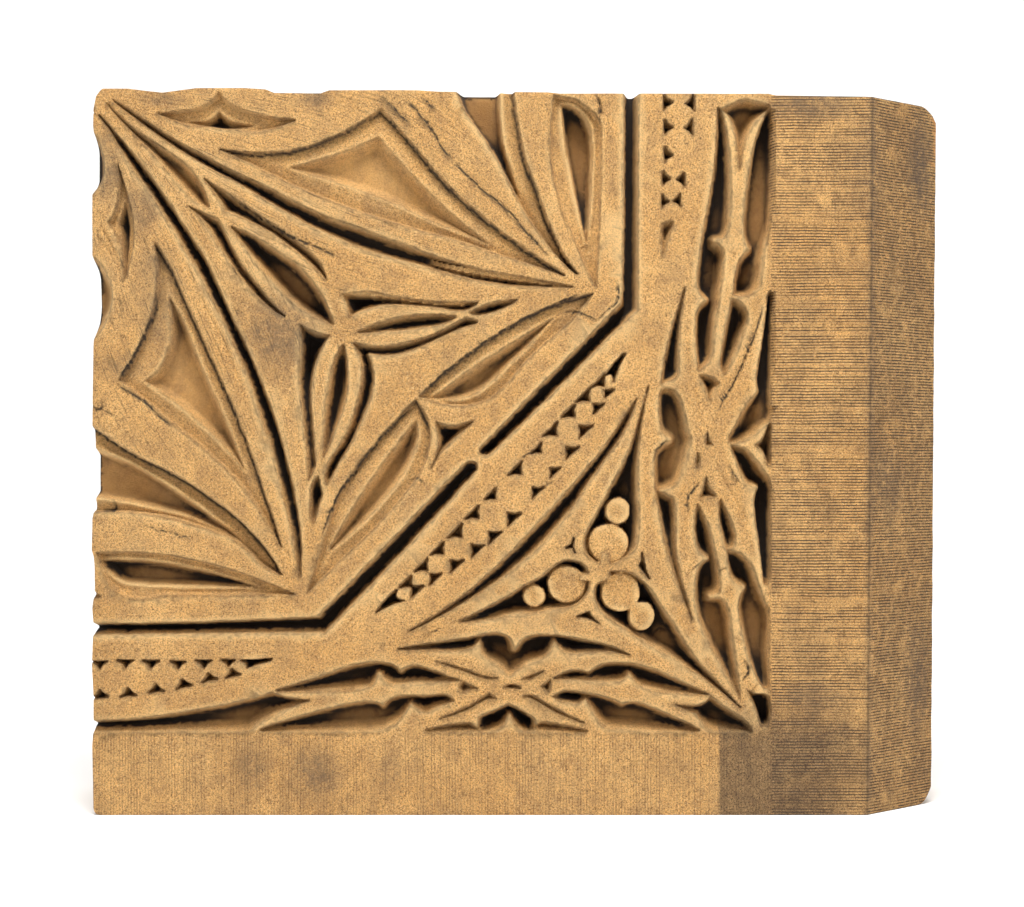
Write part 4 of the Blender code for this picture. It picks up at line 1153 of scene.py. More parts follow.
@dataclass
class SpandrelBlock:
    """The whole cast piece, closed all round, with its cells at the back."""

    sizes: BlockSizes
    front: Front
    most_faces: int = 190_000
    deep: float = 24.0  # the depth that counts as fully sunk, in millimetres
    front_slack: float = 1.8  # how much deeper than the carving a point may lie on the front
    splay_share: float = 0.7  # about the cosine of the splay's 45 degrees
    sharp_angle: float = 42.0

    def place(self, u: np.ndarray, w: np.ndarray, v: np.ndarray) -> np.ndarray:
        """Turns places on the block into metres in the frame.

        Args:
            u: Places across, in millimetres.
            w: Places back from the front.
            v: Places up.

        Returns:
            The points, one to a row.
        """
        size = self.sizes
        across = u.ravel() - size.width / 2
        back = w.ravel() - size.depth / 2
        return np.stack([across, back, v.ravel()], axis=1) * MM

    def build(self) -> bpy.types.Object:
        """Makes the block's mesh and thins it where it is flat.

        Returns:
            The block.
        """
        front = self.front
        # What is worn off the splay goes back and to the left, square to it.
        on_splay = front.w > 0
        back = front.depth * np.where(on_splay, self.splay_share, 1.0)
        u = front.u - np.where(on_splay, self.splay_share * front.depth, 0)
        columns, rows = u.shape
        sheet = self.place(u, front.w + back, front.v)
        index = np.arange(columns * rows).reshape(columns, rows)
        quads = np.stack(
            [index[:-1, :-1], index[1:, :-1], index[1:, 1:], index[:-1, 1:]], axis=-1
        ).reshape(-1, 4)
        rim = np.concatenate(
            [index[:-1, 0], index[-1, :-1], index[:0:-1, -1], index[0, :0:-1]]
        )
        points, faces, ring = self.sides(sheet, rim)
        mesh = bpy.data.meshes.new("spandrel_block")
        mesh.from_pydata(
            np.concatenate([sheet, *points]).tolist(), [],
            np.concatenate([quads, *faces]).tolist(),
        )
        block = bpy.data.objects.new("spandrel_block", mesh)
        bpy.context.scene.collection.objects.link(block)
        self.close_back(mesh, ring)
        self.thin(block)
        return block

    def sides(self, sheet: np.ndarray,
              rim: np.ndarray) -> tuple[list[np.ndarray], list[np.ndarray], np.ndarray]:
        """Runs the front's outer edge back to the rounded edge of the back.

        Args:
            sheet: The front's points, in metres.
            rim: The numbers of the points round its edge, in order.

        Returns:
            The new points and faces, ring by ring, and the numbers of the last ring's points.
        """
        size = self.sizes
        lift = self.front.lift.ravel()[rim]
        back = size.depth / 2 * MM
        points = []
        faces = []
        ring = rim
        count = len(sheet)
        for level in SIDE_LEVELS:
            edge = sheet[rim].copy()
            # The chips are deepest at the front and gone at the back.
            edge[:, 2] -= lift * (1 - (1 - level) ** 2) * MM
            edge[:, 1] += (back - edge[:, 1]) * level
            if level == 1.0:
                # A point further out than this, in metres across and up, is on that side.
                beyond = np.array([0.3, 0.25])
                inward = edge - np.array([0, 0, size.height / 2 * MM])
                outside = np.abs(inward[:, (0, 2)]) > beyond
                edge[:, (0, 2)] -= np.sign(inward[:, (0, 2)]) * size.back_round * MM * outside
            fresh = np.arange(count, count + len(rim))
            count += len(rim)
            points.append(edge)
            following = np.roll(ring, -1)
            faces.append(np.stack([following, ring, fresh, np.roll(fresh, -1)], axis=-1))
            ring = fresh
        return points, faces, ring

    def cell(self, column: int, row: int, grow: float, w: float) -> np.ndarray:
        """Rounds off one cell's outline.

        Args:
            column: Which cell, from the left.
            row: Which cell, from the bottom.
            grow: How much further out than the cell's floor it is, in millimetres.
            w: How far back from the front it is.

        Returns:
            The outline's points in metres.
        """
        size = self.sizes
        walls = 2 * size.outer_wall
        width = (size.width - walls - (size.cell_columns - 1) * size.web) / size.cell_columns
        height = (size.cell_field - walls - (size.cell_rows - 1) * size.web) / size.cell_rows
        inset = size.cell_foot
        u0 = size.outer_wall + column * (width + size.web) + inset - grow
        v0 = size.outer_wall + row * (height + size.web) + inset - grow
        u1 = u0 + width - 2 * inset + 2 * grow
        v1 = v0 + height - 2 * inset + 2 * grow
        radius = size.cell_corner + grow
        points = []
        corners = ((u1, v0, -90), (u1, v1, 0), (u0, v1, 90), (u0, v0, 180))
        for u, v, start in corners:
            centre_u = u - radius if u == u1 else u + radius
            centre_v = v - radius if v == v1 else v + radius
            for step in range(5):
                angle = math.radians(start + 22.5 * step)
                points.append((
                    centre_u + radius * math.cos(angle), centre_v + radius * math.sin(angle)
                ))
        across, up = np.array(points).T
        return self.place(across, np.full(len(points), w), up)

    def close_back(self, mesh: bpy.types.Mesh, ring: np.ndarray) -> None:
        """Fills the back between the outer edge and the cells, and sinks the cells.

        Args:
            mesh: The block's mesh, open at the back.
            ring: The points round its back edge.
        """
        size = self.sizes
        work = bmesh.new()
        work.from_mesh(mesh)
        work.verts.ensure_lookup_table()
        edge = [work.verts[i] for i in ring]
        spans = [work.edges.get((a, b)) for a, b in zip(edge, edge[1:] + edge[:1])]
        for column in range(size.cell_columns):
            for row in range(size.cell_rows):
                # The mouth is rounded, the walls have draft, and the floor's corner is filled.
                steps = ((3.0, size.depth), (1.2, size.depth - 3), (0.4, size.cell_floor + 4),
                         (-3.0, size.cell_floor))
                loops = []
                for grow, w in steps:
                    loops.append([work.verts.new(p) for p in self.cell(column, row, grow, w)])
                for outer, inner in zip(loops, loops[1:]):
                    for i in range(len(outer)):
                        j = (i + 1) % len(outer)
                        work.faces.new((outer[i], outer[j], inner[j], inner[i]))
                work.faces.new(loops[-1])
                mouth = loops[0]
                spans += [work.edges.get((a, b)) for a, b in zip(mouth, mouth[1:] + mouth[:1])]
        bmesh.ops.triangle_fill(work, use_beauty=True, edges=spans, normal=(0, 1, 0))
        bmesh.ops.recalc_face_normals(work, faces=work.faces)
        work.to_mesh(mesh)
        work.free()

    def thin(self, block: bpy.types.Object) -> None:
        """Merges small faces where the block is flat, down to the count allowed.

        Args:
            block: The block, which keeps the thinned mesh.
        """
        block.data.calc_loop_triangles()
        full = len(block.data.loop_triangles)
        modifier = block.modifiers.new("thin", "DECIMATE")
        modifier.ratio = self.most_faces / full
        graph = bpy.context.evaluated_depsgraph_get()
        thinned = bpy.data.meshes.new_from_object(block.evaluated_get(graph))
        block.modifiers.clear()
        block.data = thinned
        thinned.name = "spandrel_block"
        thinned.shade_smooth()
        thinned.set_sharp_from_angle(angle=math.radians(self.sharp_angle))
        LOG.info("block: %d faces, thinned from %d", len(thinned.polygons), full)

    def recess_shade(self, level: np.ndarray) -> np.ndarray:
        """Finds where shade is painted: in grooves, in wide hollows, and as painted shadow below walls to
        the upper left.

        Args:
            level: The depth of each square millimetre of the front.

        Returns:
            How much painted shade each gets.
        """
        near = smoothed(level, 3)
        wide = smoothed(level, 8)
        # The ground 3 mm to the left of each place and 6 mm above it, whose walls cast painted shadow
        # down and to the right.
        above = np.roll(wide, (3, -6), axis=(0, 1))
        return (0.3 * np.clip((level - near - 1) / 4, 0, 1)
                + 0.35 * np.clip((level - wide - 7) / 9, 0, 1)
                + 0.65 * np.clip((level - above - 7) / 9, 0, 1))

    def stain(self, block: bpy.types.Object) -> None:
        """Marks each point with how deep and how worn it is and how much painted shade it gets, for the
        finish.

        Args:
            block: The block.
        """
        size = self.sizes
        front = self.front
        mesh = block.data
        points = np.empty(len(mesh.vertices) * 3, np.float32)
        mesh.vertices.foreach_get("co", points)
        points = points.reshape(-1, 3) / MM
        u = points[:, 0] + size.width / 2
        w = points[:, 1] + size.depth / 2
        v = points[:, 2]
        # The depth of each square millimetre, with room above for the raised top edge.
        grid_u = np.arange(0, size.width + 1.0, 1.0)
        grid_v = np.arange(0, size.height + 5.0, 1.0)
        i = np.clip(np.searchsorted(front.columns, grid_u), 0, len(front.columns) - 1)
        j = np.clip(np.searchsorted(front.rows, grid_v), 0, len(front.rows) - 1)
        level = front.depth[np.ix_(i, j)]
        a = np.clip(np.round(u), 0, len(grid_u) - 1).astype(int)
        b = np.clip(np.round(v), 0, len(grid_v) - 1).astype(int)
        c = np.clip(np.searchsorted(front.columns, u), 0, len(front.columns) - 1)
        d = np.clip(np.searchsorted(front.rows, v), 0, len(front.rows) - 1)
        arris = size.front_width - size.foot_narrowing * (1 - v / size.height)
        depth = w - np.clip(u - arris, 0, size.splay)
        # A point is on the front where it lies no deeper than the carving close by.
        deepest = front.depth
        for axis in (0, 1) * 2:
            beside = [np.roll(deepest, step, axis) for step in (1, -1)]
            deepest = np.maximum(deepest, np.maximum(*beside))
        on_front = (depth < deepest[c, d] + self.front_slack) * 1.0
        marks = {
            "sunk": np.clip(depth / self.deep, 0, 1),
            # Painted shade in hollows and grooves, and painted shadow below walls to the upper left.
            "recess_shade": np.clip(self.recess_shade(level)[a, b], 0, 1),
            "worn": np.clip((smoothed(level, 3) - level)[a, b] / 6, 0, 1),
            "rim": front.rim[c, d] * np.clip(1.6 - depth / 5, 0, 1),
            "crease_shade": front.crease_shade[c, d],
            "fresh": np.clip(-front.lift[c, d] - 6, 0, 1),
            "front": 1.0,
        }
        for name, values in marks.items():
            mark = mesh.attributes.new(name, "FLOAT", "POINT")
            mark.data.foreach_set("value", (values * on_front).astype(np.float32))


def linear(hex_colour: str) -> tuple[float, float, float, float]:
    """Turns an sRGB hex colour into the linear colour that shaders take.

    Args:
        hex_colour: The colour, as six hex digits.

    Returns:
        Red, green, blue and full alpha.
    """
    parts = [int(hex_colour[i:i + 2], 16) / 255 for i in (0, 2, 4)]
    red, green, blue = [p / 12.92 if p <= 0.04045 else ((p + 0.055) / 1.055) ** 2.4 for p in parts]
    return red, green, blue, 1.0


def add_node(tree: bpy.types.NodeTree, kind: str, inputs: dict | None = None,
             out: int = 0, **settings) -> bpy.types.NodeSocket:
    """Adds one shader node with its settings and links.

    Args:
        tree: The node tree.
        kind: The node's type, without its first part.
        inputs: Values or sockets by input name or number. A socket is linked.
        out: Which of its outputs to give back.
        **settings: The node's own properties.

    Returns:
        The output.
    """
    node = tree.nodes.new("ShaderNode" + kind)
    for name, value in settings.items():
        setattr(node, name, value)
    for name, value in (inputs or {}).items():
        if isinstance(value, bpy.types.NodeSocket):
            tree.links.new(value, node.inputs[name])
        else:
            node.inputs[name].default_value = value
    return node.outputs[out]


# The clay's unevenness: each grain is its size in mm, its finer layers and their strength, how far
# it is drawn out, and the values of the noise where it starts and where it is full. Sand and grit in
# such clay are about 0.5 mm, less than a pixel of the render, so they are drawn at 1.25 to 1.8 mm to
# show. The comb's furrows are 2.1 mm apart, so what breaks them up is 3 to 4.4 mm. Patches, film and
# drift are as large as the kiln's and the rain's marks.
GRAINS = {
    "patches": (60, 4, 0.60, (1, 1, 1), 0.40, 0.62),
    "blotches": (11, 7, 0.75, (1, 1, 1), 0.48, 0.64),
    "sand": (1.25, 3, 0.90, (1, 1, 1), 0.40, 0.60),
    "grit": (1.8, 6, 0.90, (1, 1, 1), 0.55, 0.61),
    "pale grit": (1.5, 5, 0.90, (1, 1, 1), 0.54, 0.62),
    "film": (30, 7, 0.72, (1.7, 1, 0.7), 0.42, 0.62),
    "comb wear": (22, 5, 0.65, (1, 1, 1), 0.30, 0.46),
    "comb breaks": (3.0, 4, 0.85, (0.5, 1, 1.2), 0.33, 0.47),
    "comb lines": (4.0, 2, 0.60, (0.04, 1, 1), 0.30, 0.52),
    "foot lines": (4.4, 2, 0.60, (1, 1, 0.03), 0.38, 0.58),
    "ragged": (5.0, 7, 0.80, (1, 1, 1), 0.38, 0.56),
    "mottle": (7, 7, 0.80, (1, 1, 1), 0.38, 0.56),
    "drift": (40, 3, 0.50, (1, 1, 1), 0.30, 0.70),
}

# Broad sooty patches, placed to the nearest 5 mm or so: the middle of each, half its width
# and height, and how dark it is.
SOOT_PATCHES = (
    (50, 365, 15, 35, 0.5), (45, 400, 12, 15, 0.6), (35, 440, 15, 20, 0.6), (10, 470, 12, 25, 0.6),
    (20, 325, 20, 10, 0.4), (135, 350, 30, 30, 0.7), (50, 520, 15, 6, 0.5), (160, 520, 15, 8, 0.6),
    (520, 515, 30, 10, 0.7), (560, 470, 14, 40, 0.35), (607, 475, 10, 35, 0.8),
    (580, 240, 12, 25, 0.4), (605, 95, 10, 40, 0.6), (520, 85, 25, 10, 0.5),
    (115, 35, 12, 18, 0.6), (160, 30, 18, 20, 0.7), (215, 30, 10, 15, 0.4),
)


# Terracotta is clay that is pressed in a mould by hand, combed while it is soft, and fired without
# glaze. It gives the eye a dry and matt face with no gleam, sandy and uneven in tone from the kiln.
# Years outdoors have left it pale where edges wear and sooted in patches; its hollows, grooves and
# creases are darkened with painted shade.
@dataclass(frozen=True)
class FiredClay:
    """Unglazed terracotta, pressed in a mould: dry, sandy and sooted in patches, with painted shade in
    its hollows.
    """

    sizes: BlockSizes
    face: str = "E1AB63"
    face_light: str = "EEBA72"
    face_dark: str = "A87C4C"
    sand_dark: str = "8A6030"
    # Painted shade: the colour that the floors of deep hollows darken to.
    floor: str = "8E6234"
    # Black and brown soot, used for real soot and also for painted shade in hollows, creases and under
    # walls.
    black_soot_and_shade: str = "120B05"
    brown_soot_and_shade: str = "4A3016"
    comb_soot: str = "3A2814"
    grey_soot: str = "57493C"
    worn: str = "F6CE8E"
    fresh: str = "D8944F"
    roughness: float = 0.93
    ior: float = 1.5
    relief: float = 0.9  # how high sand and comb stand, in millimetres
    relief_strength: float = 0.9
    furrow_depth: float = 0.9  # the comb's depth beside the sand's
    foot_comb: float = 0.38  # the comb's strength on the lower margin
    stain_left: float = 453.0  # the foot's dark stain starts here, in millimetres across,
    stain_end: Point = (525.0, 570.0)  # fades out from one of these to the other,
    stain_top: float = 86.0  # and ends this far up
    turn_streaks: float = 75.0  # streaks to the radian across the ribs
    rib_streaks: float = 35.0  # to the metre along them, so 29 mm long
    frieze_streaks: Point = (850.0, 40.0)  # to the metre on the friezes, so 1.2 by 25 mm
    frieze_left: float = 398.0  # the right frieze starts here, across
    frieze_top: float = 118.0  # and the lower frieze ends here, up
    streaked: Point = (0.36, 0.20)  # streaks fade out from the star, in metres

    def from_middle(self, u: float) -> float:
        """Turns a place across the front from millimetres into metres in the frame."""
        return (u - self.sizes.width / 2) * MM

    def on_front(self, u: float, v: float) -> tuple[float, float, float]:
        """Turns a place on the front from millimetres into metres in the frame."""
        return self.from_middle(u), -self.sizes.depth / 2 * MM, v * MM

    def material(self) -> bpy.types.Material:
        """Builds the material from the marks on the mesh and noise at real sizes.

        Returns:
            The material.
        """
        made = bpy.data.materials.new("fired_clay")
        made.use_nodes = True
        tree = made.node_tree
        shader = tree.nodes["Principled BSDF"]
        shader.inputs["Roughness"].default_value = self.roughness
        shader.inputs["IOR"].default_value = self.ior
        masks = self.masks(tree)
        masks["comb"] = self.comb(tree, masks)
        colour = linear(self.face)
        for shade, strength, names in self.layers():
            amount = strength
            for name in names:
                amount = add_node(tree, "Math", {0: amount, 1: masks[name]}, operation="MULTIPLY")
            colour = add_node(tree, "Mix", {"Factor": amount, 6: colour, 7: linear(shade)}, 2,
                              data_type="RGBA")
        tree.links.new(colour, shader.inputs["Base Color"])
        furrows = add_node(tree, "Math", {0: masks["comb"], 1: -self.furrow_depth},
                           operation="MULTIPLY")
        height = add_node(tree, "Math", {0: masks["sand"], 1: furrows}, operation="ADD")
        normal = add_node(tree, "Bump", {
            "Height": height, "Strength": self.relief_strength, "Distance": self.relief * MM,
        })
        tree.links.new(normal, shader.inputs["Normal"])
        return made

    def layers(self) -> list[tuple[str, float, tuple[str, ...]]]:
        """Lists what lies over the bare clay, from the lowest up.

        Returns:
            Each layer's colour, its strength and the masks that it shows through.
        """
        stain = ("stained", "below stain top", "stain end")
        streaks = ("streaks", "carved", "rib")
        return [
            (self.face_light, 0.9, ("patches",)),
            (self.face_dark, 0.55, ("blotches",)),
            # Painted shade: the floors of deep hollows darken with depth.
            (self.floor, 0.60, ("sunk",)),
            (self.sand_dark, 0.95, ("no sand", "grainy")),
            (self.worn, 0.95, ("pale grit", "grainy")),
            (self.brown_soot_and_shade, 0.12, ("film", "right")),
            (self.grey_soot, 0.22, ("film",)),
            (self.comb_soot, 1.0, ("comb",)),
            (self.comb_soot, 0.6, ("comb", "splay")),
            (self.comb_soot, 0.25, ("splay", "mottle")),
            (self.grey_soot, 0.50, stain),
            (self.brown_soot_and_shade, 0.90, ("grit", "grainy")),
            (self.worn, 0.55, ("worn", "carved")),
            (self.brown_soot_and_shade, 0.22, (*streaks, "rosette")),
            (self.black_soot_and_shade, 0.60, (*streaks, "ragged", "rosette")),
            (self.comb_soot, 0.70, (*stain, "no sand")),
            (self.comb_soot, 0.35, (*stain, "mottle")),
            (self.grey_soot, 0.75, ("patch", "mottle")),
            (self.grey_soot, 0.30, ("patch",)),
            (self.grey_soot, 0.30, ("arris",)),
            (self.comb_soot, 0.60, ("arris line", "ragged")),
            # A dark ragged line just inside each rim.
            (self.black_soot_and_shade, 0.50, ("rim", "ragged")),
            # Painted shade in creases, under ledge walls and along thin scratches.
            (self.black_soot_and_shade, 0.92, ("crease_shade",)),
            (self.fresh, 0.5, ("fresh",)),
            # Painted shade: hollows and grooves darken, and walls cast painted shadow below them.
            (self.brown_soot_and_shade, 0.70, ("recess_shade",)),
            (self.black_soot_and_shade, 0.88, ("deep recess shade",)),
        ]

    def rib_way(self, tree: bpy.types.NodeTree, place: bpy.types.NodeSocket,
                across: bpy.types.NodeSocket, up: bpy.types.NodeSocket) -> bpy.types.NodeSocket:
        """Lays out the streaks: on arcs from the star to a tip, and along the friezes' stems.

        Args:
            tree: The material's node tree.
            place: Places in the frame.
            across: Places to the right, in metres.
            up: Places up, in metres.

        Returns:
            A vector in streak sizes: across the ribs, then along them.
        """
        angles = []
        points = (self.sizes.star, *self.sizes.tips)
        for turn, (u, v) in zip((1, -1, -1), points):
            aside = add_node(tree, "Math", {0: across, 1: self.from_middle(u)},
                             operation="SUBTRACT")
            over = add_node(tree, "Math", {0: up, 1: v * MM}, operation="SUBTRACT")
            aside = add_node(tree, "Math", {0: aside, 1: turn}, operation="MULTIPLY")
            over = add_node(tree, "Math", {0: over, 1: turn}, operation="MULTIPLY")
            angles.append(add_node(tree, "Math", {0: over, 1: aside}, operation="ARCTAN2"))
            if turn == 1:
                side = add_node(tree, "Math", {0: aside, 1: over}, operation="ADD")
                upper = add_node(tree, "Math", {0: side, 1: 0.0}, operation="GREATER_THAN")
        ways = []
        for angle, tip in zip(angles[1:], points[1:]):
            arc = add_node(tree, "Math", {0: angle, 1: angles[0]}, operation="SUBTRACT")
            arc = add_node(tree, "Math", {0: arc, 1: self.turn_streaks}, operation="MULTIPLY")
            run = add_node(tree, "VectorMath", {0: place, 1: self.on_front(*tip)}, 1,
                           operation="DISTANCE")
            run = add_node(tree, "Math", {0: run, 1: self.rib_streaks}, operation="MULTIPLY")
            ways.append(add_node(tree, "CombineXYZ", {0: arc, 1: run}))
        way = add_node(tree, "Mix", {"Factor": upper, 4: ways[1], 5: ways[0]}, 1,
                       data_type="VECTOR")
        for aside, ahead, limit, test in (
            (across, up, self.from_middle(self.frieze_left), "GREATER_THAN"),
            (up, across, self.frieze_top * MM, "LESS_THAN"),
        ):
            wide = add_node(tree, "Math", {0: aside, 1: self.frieze_streaks[0]},
                            operation="MULTIPLY")
            long = add_node(tree, "Math", {0: ahead, 1: self.frieze_streaks[1]},
                            operation="MULTIPLY")
            straight = add_node(tree, "CombineXYZ", {0: wide, 1: long})
            there = add_node(tree, "Math", {0: aside, 1: limit}, operation=test)
            way = add_node(tree, "Mix", {"Factor": there, 4: way, 5: straight}, 1,
                           data_type="VECTOR")
        return way

    def masks(self, tree: bpy.types.NodeTree) -> dict[str, bpy.types.NodeSocket]:
        """Makes every mask that the layers use: grains, the block's marks and its zones.

        Args:
            tree: The material's node tree.

        Returns:
            The masks by name, each from 0 to 1, and the places "across" and "up" in metres.
        """
        place = add_node(tree, "TexCoord", out=3)
        masks = {
            "across": add_node(tree, "SeparateXYZ", {0: place}, 0),
            "up": add_node(tree, "SeparateXYZ", {0: place}, 2),
            "patch": self.patches(tree, place),
        }
        for name, (grain, detail, rough, drawn, low, high) in GRAINS.items():
            scaled = add_node(tree, "VectorMath", {0: place, 1: drawn}, operation="MULTIPLY")
            noise = add_node(tree, "TexNoise", {
                "Vector": scaled, "Scale": 1 / (grain * MM), "Detail": detail, "Roughness": rough,
            })
            masks[name] = add_node(tree, "MapRange", {0: noise, 1: low, 2: high})
        streaks = add_node(tree, "TexNoise", {
            "Vector": self.rib_way(tree, place, masks["across"], masks["up"]),
            "Scale": 1.0, "Detail": 3, "Roughness": 0.6,
        })
        masks["streaks"] = add_node(tree, "MapRange", {0: streaks, 1: 0.54, 2: 0.68})
        marks = {name: add_node(tree, "Attribute", out=2, attribute_name=name)
                 for name in ("sunk", "recess_shade", "worn", "rim", "crease_shade", "fresh", "front")}
        spans = self.mark_spans(marks, masks["sand"]) | self.zone_spans(tree, place, masks)
        for name, (value, low, high) in spans.items():
            masks[name] = add_node(tree, "MapRange", {0: value, 1: low, 2: high})
        for name in ("right", "splay", "stained", "carved", "foot", "arris", "arris line", "patch"):
            masks[name] = add_node(tree, "Math", {0: masks[name], 1: marks["front"]},
                                   operation="MULTIPLY")
        above = add_node(tree, "Math", {0: 1.0, 1: masks["foot"]}, operation="SUBTRACT")
        masks["carved"] = add_node(tree, "Math", {0: masks["carved"], 1: above},
                                   operation="MULTIPLY")
        return masks

    def mark_spans(self, marks: dict[str, bpy.types.NodeSocket],
                   sand: bpy.types.NodeSocket) -> dict[str, tuple]:
        """Lists the masks that come from the block's marks.

        Args:
            marks: The marks by name.
            sand: Where there is sand.

        Returns:
            For each mask its value, and the values where it starts and where it is full.
        """
        return {
            # How far down a hollow's floor lies, which sets its painted shade.
            "sunk": (marks["sunk"], 0.55, 0.95),
            # Painted shade in hollows and grooves, and painted shadow below walls.
            "recess_shade": (marks["recess_shade"], 0.1, 0.7),
            "deep recess shade": (marks["recess_shade"], 0.4, 0.85),
            "worn": (marks["worn"], 0.1, 0.8),
            "rim": (marks["rim"], 0.2, 0.8),
            "crease_shade": (marks["crease_shade"], 0.1, 0.8),
            "rib": (marks["sunk"], 0.12, 0.06),
            "fresh": (marks["fresh"], 0.2, 0.8),
            "grainy": (marks["sunk"], 0.9, 0.1),
            "no sand": (sand, 0.55, 0.0),
        }

    def zone_spans(self, tree: bpy.types.NodeTree, place: bpy.types.NodeSocket,
                   masks: dict[str, bpy.types.NodeSocket]) -> dict[str, tuple]:
        """Lists the masks that come from where a point lies on the block.

        Args:
            tree: The material's node tree.
            place: Places in the frame.
            masks: Places "across" and "up" in metres, among others.

        Returns:
            For each mask its value, and the values where it starts and where it is full.
        """
        size = self.sizes
        across = masks["across"]
        up = masks["up"]
        field_right = size.field_right
        narrowing = size.foot_narrowing / size.height
        arris = self.from_middle(size.front_width - size.foot_narrowing)
        line = add_node(tree, "Math", {0: up, 1: narrowing, 2: arris}, operation="MULTIPLY_ADD")
        line = add_node(tree, "Math", {0: across, 1: line}, operation="SUBTRACT")
        line = add_node(tree, "Math", {0: line}, operation="ABSOLUTE")
        from_star = add_node(tree, "VectorMath", {0: place, 1: self.on_front(*size.star)}, 1,
                             operation="DISTANCE")
        spans = {
            "stain end": (across, *map(self.from_middle, self.stain_end[::-1])),
            "below stain top": (up, self.stain_top * MM, (self.stain_top - 30) * MM),
            "foot": (up, (size.field_foot - 0.5) * MM, (size.field_foot - 2) * MM),
            "arris": (line, 5 * MM, 1 * MM),
            "arris line": (line, 1.4 * MM, 0.3 * MM),
            "rosette": (from_star, *self.streaked),
        }
        for name, low, high in (
            ("right", field_right + 2, field_right + 3.5),
            ("splay", size.front_width - 3, size.front_width + 2),
            ("stained", self.stain_left, self.stain_left + 2),
            ("carved", field_right + 1, field_right - 1),
        ):
            spans[name] = (across, self.from_middle(low), self.from_middle(high))
        return spans

    def patches(self, tree: bpy.types.NodeTree,
                place: bpy.types.NodeSocket) -> bpy.types.NodeSocket:
        """Gathers the patches that are dark with soot.

        Args:
            tree: The material's node tree.
            place: Places in the frame.

        Returns:
            How dark each place is, from 0 to 1.
        """
        total = 0.0
        for u, v, half_width, half_height, strength in SOOT_PATCHES:
            scale = (1 / (half_width * MM), 0, 1 / (half_height * MM))
            shift = (-self.from_middle(u) * scale[0], 0, -v / half_height)
            away = add_node(tree, "VectorMath", {0: place, 1: scale, 2: shift},
                            operation="MULTIPLY_ADD")
            away = add_node(tree, "VectorMath", {0: away}, 1, operation="LENGTH")
            dark = add_node(tree, "MapRange", {0: away, 1: 1.4, 2: 0.4, 4: strength})
            total = add_node(tree, "Math", {0: total, 1: dark}, operation="MAXIMUM")
        return total

    def comb(self, tree: bpy.types.NodeTree,
             masks: dict[str, bpy.types.NodeSocket]) -> bpy.types.NodeSocket:
        """Draws the furrows that a comb left: level at the right, and upright at the foot.

        Args:
            tree: The material's node tree.
            masks: The masks so far.

        Returns:
            How deep in a furrow each place is, from 0 to 1.
        """
        turns = math.tau / (self.sizes.comb_pitch * MM)
        sideways = add_node(tree, "Math", {0: 1.0, 1: masks["right"]}, operation="SUBTRACT")
        sideways = add_node(tree, "Math", {0: sideways, 1: masks["foot"]}, operation="MULTIPLY")
        total = 0.0
        for way, share, zone, lines in (
            ("up", 1.0, masks["right"], "comb lines"),
            ("across", self.foot_comb, sideways, "foot lines"),
        ):
            zone = add_node(tree, "Math", {0: zone, 1: masks[lines]}, operation="MULTIPLY")
            # The hand drifts by up to a third of a line.
            drift = add_node(tree, "Math", {0: masks["drift"], 1: 2.0}, operation="MULTIPLY")
            angle = add_node(tree, "Math", {0: masks[way], 1: turns, 2: drift},
                             operation="MULTIPLY_ADD")
            wave = add_node(tree, "Math", {0: angle}, operation="SINE")
            furrow = add_node(tree, "MapRange", {0: wave, 1: -0.2, 2: 0.9, 4: share})
            total = add_node(tree, "Math", {0: furrow, 1: zone, 2: total}, operation="MULTIPLY_ADD")
        for name in ("comb wear", "comb breaks"):
            total = add_node(tree, "Math", {0: total, 1: masks[name]}, operation="MULTIPLY")
        return total


# White card with no coating: it gives an even, pale and matt ground, with no gleam of the lights.
@dataclass(frozen=True)
class PaleCard:
    """The finish of the floor and backdrop."""

    colour: str = "F4F3F1"
    roughness: float = 0.9

    def material(self) -> bpy.types.Material:
        """Builds the material.

        Returns:
            The material.
        """
        made = bpy.data.materials.new("pale_card")
        made.use_nodes = True
        shader = made.node_tree.nodes["Principled BSDF"]
        shader.inputs["Base Color"].default_value = linear(self.colour)
        shader.inputs["Roughness"].default_value = self.roughness
        return made


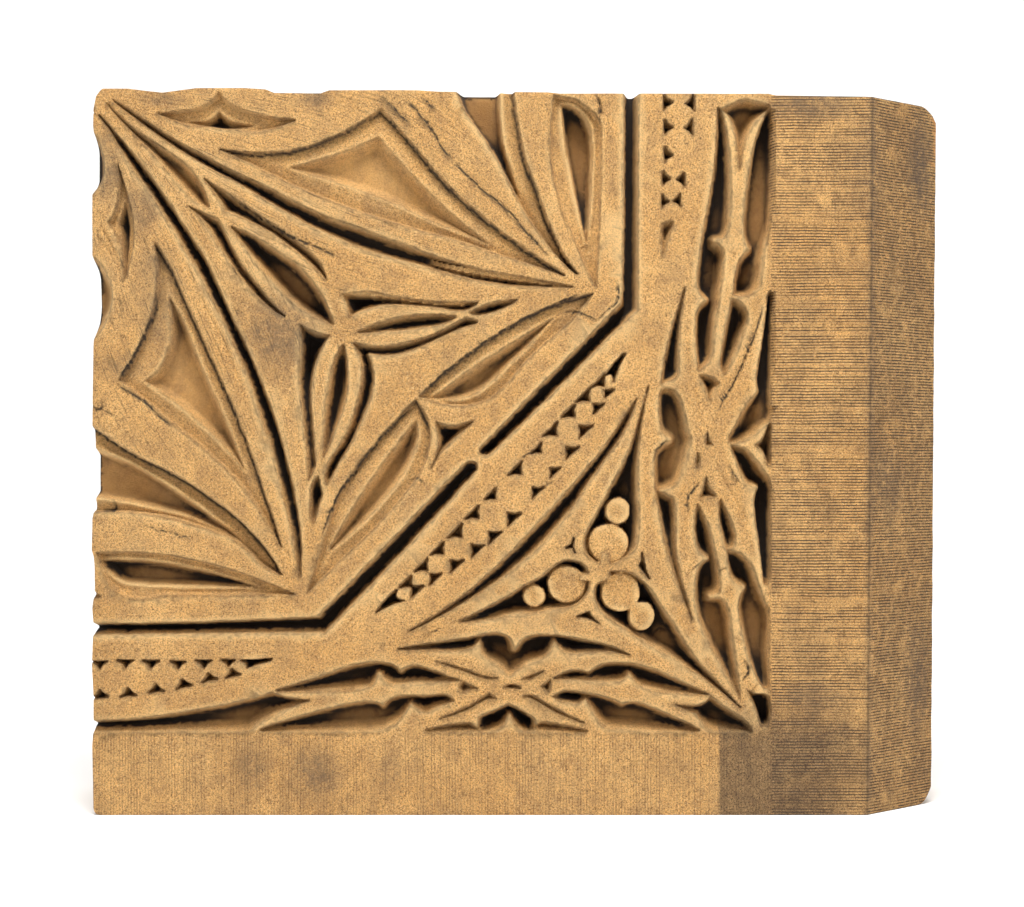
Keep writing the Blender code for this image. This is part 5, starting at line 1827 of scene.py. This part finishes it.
@dataclass
class Studio:
    """A pale floor, soft lights and the camera, standing where the photograph was taken from."""

    sizes: BlockSizes
    distance: float = 1.6
    lens: float = 77.6
    sensor: float = 36.0
    aim: Point = (303.6, 262.3)
    floor_near: float = -6.0
    floor_far: float = 2.2
    floor_bend: float = 1.2
    floor_high: float = 6.0
    floor_half: float = 7.0
    surround: float = 0.22

    def build(self) -> None:
        """Makes the floor, the lights and the camera."""
        self.make_floor()
        self.make_lights()
        camera = bpy.data.objects.new("camera", bpy.data.cameras.new("camera"))
        camera.data.lens = self.lens
        camera.data.sensor_width = self.sensor
        across = (self.aim[0] - self.sizes.width / 2) * MM
        camera.location = (across, -self.sizes.depth / 2 * MM - self.distance, self.aim[1] * MM)
        camera.rotation_euler = (math.pi / 2, 0, 0)
        bpy.context.scene.collection.objects.link(camera)
        bpy.context.scene.camera = camera

    def make_floor(self) -> None:
        """Makes the pale floor, which sweeps up behind as a backdrop."""
        mesh = bpy.data.meshes.new("floor")
        far, bend_radius = self.floor_far, self.floor_bend
        profile = [(self.floor_near, 0.0), (far, 0.0)]
        for step in range(1, 9):
            angle = math.pi / 2 * step / 8
            profile.append(
                (far + bend_radius * math.sin(angle), bend_radius - bend_radius * math.cos(angle))
            )
        profile.append((far + bend_radius, self.floor_high))
        points = [(x, y, z) for y, z in profile for x in (-self.floor_half, self.floor_half)]
        faces = [(2 * i, 2 * i + 1, 2 * i + 3, 2 * i + 2) for i in range(len(profile) - 1)]
        mesh.from_pydata(points, [], faces)
        mesh.shade_smooth()
        mesh.materials.append(PaleCard().material())
        floor = bpy.data.objects.new("floor", mesh)
        bpy.context.scene.collection.objects.link(floor)

    def make_lights(self) -> None:
        """Sets soft boxes at both sides and above, and a pale surround."""
        middle = Vector((0, -0.07, 0.27))
        behind = Vector((0, 3.4, 0.9))
        # Each soft box is its place and width in metres, its watts and what it points at.
        boxes = (
            ("right", (1.7, -1.3, 0.9), 0.9, 22.0, middle),
            ("left", (-1.7, -1.3, 0.9), 0.9, 16.0, middle),
            ("top", (0.0, -1.0, 2.2), 1.0, 74.0, middle),
            ("backdrop", (0.0, 1.2, 2.6), 2.0, 60.0, behind),
        )
        for name, spot, side, power, target in boxes:
            light = bpy.data.lights.new(name, "AREA")
            light.shape = "SQUARE"
            light.size = side
            light.energy = power
            lamp = bpy.data.objects.new(name, light)
            lamp.location = spot
            lamp.rotation_euler = (target - Vector(spot)).to_track_quat("-Z", "Y").to_euler()
            bpy.context.scene.collection.objects.link(lamp)
        world = bpy.data.worlds.new("surround")
        world.use_nodes = True
        background = world.node_tree.nodes["Background"]
        background.inputs["Color"].default_value = linear("FFFFFF")
        background.inputs["Strength"].default_value = self.surround
        bpy.context.scene.world = world
        bpy.context.scene.view_settings.view_transform = "Standard"


def main() -> None:
    """Builds the block, its finish and the studio."""
    logging.basicConfig(level=logging.INFO, format="%(name)s: %(message)s")
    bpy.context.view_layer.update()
    sizes = BlockSizes()
    front = Front(sizes)
    front.carve()
    front.weather()
    LOG.info("front: %d points", front.depth.size)
    maker = SpandrelBlock(sizes, front)
    block = maker.build()
    maker.stain(block)
    block.data.materials.append(FiredClay(sizes).material())
    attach(block, "root")
    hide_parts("block")
    Studio(sizes).build()
    LOG.info("studio: floor, lights and camera")


if __name__ == "__main__":
    main()
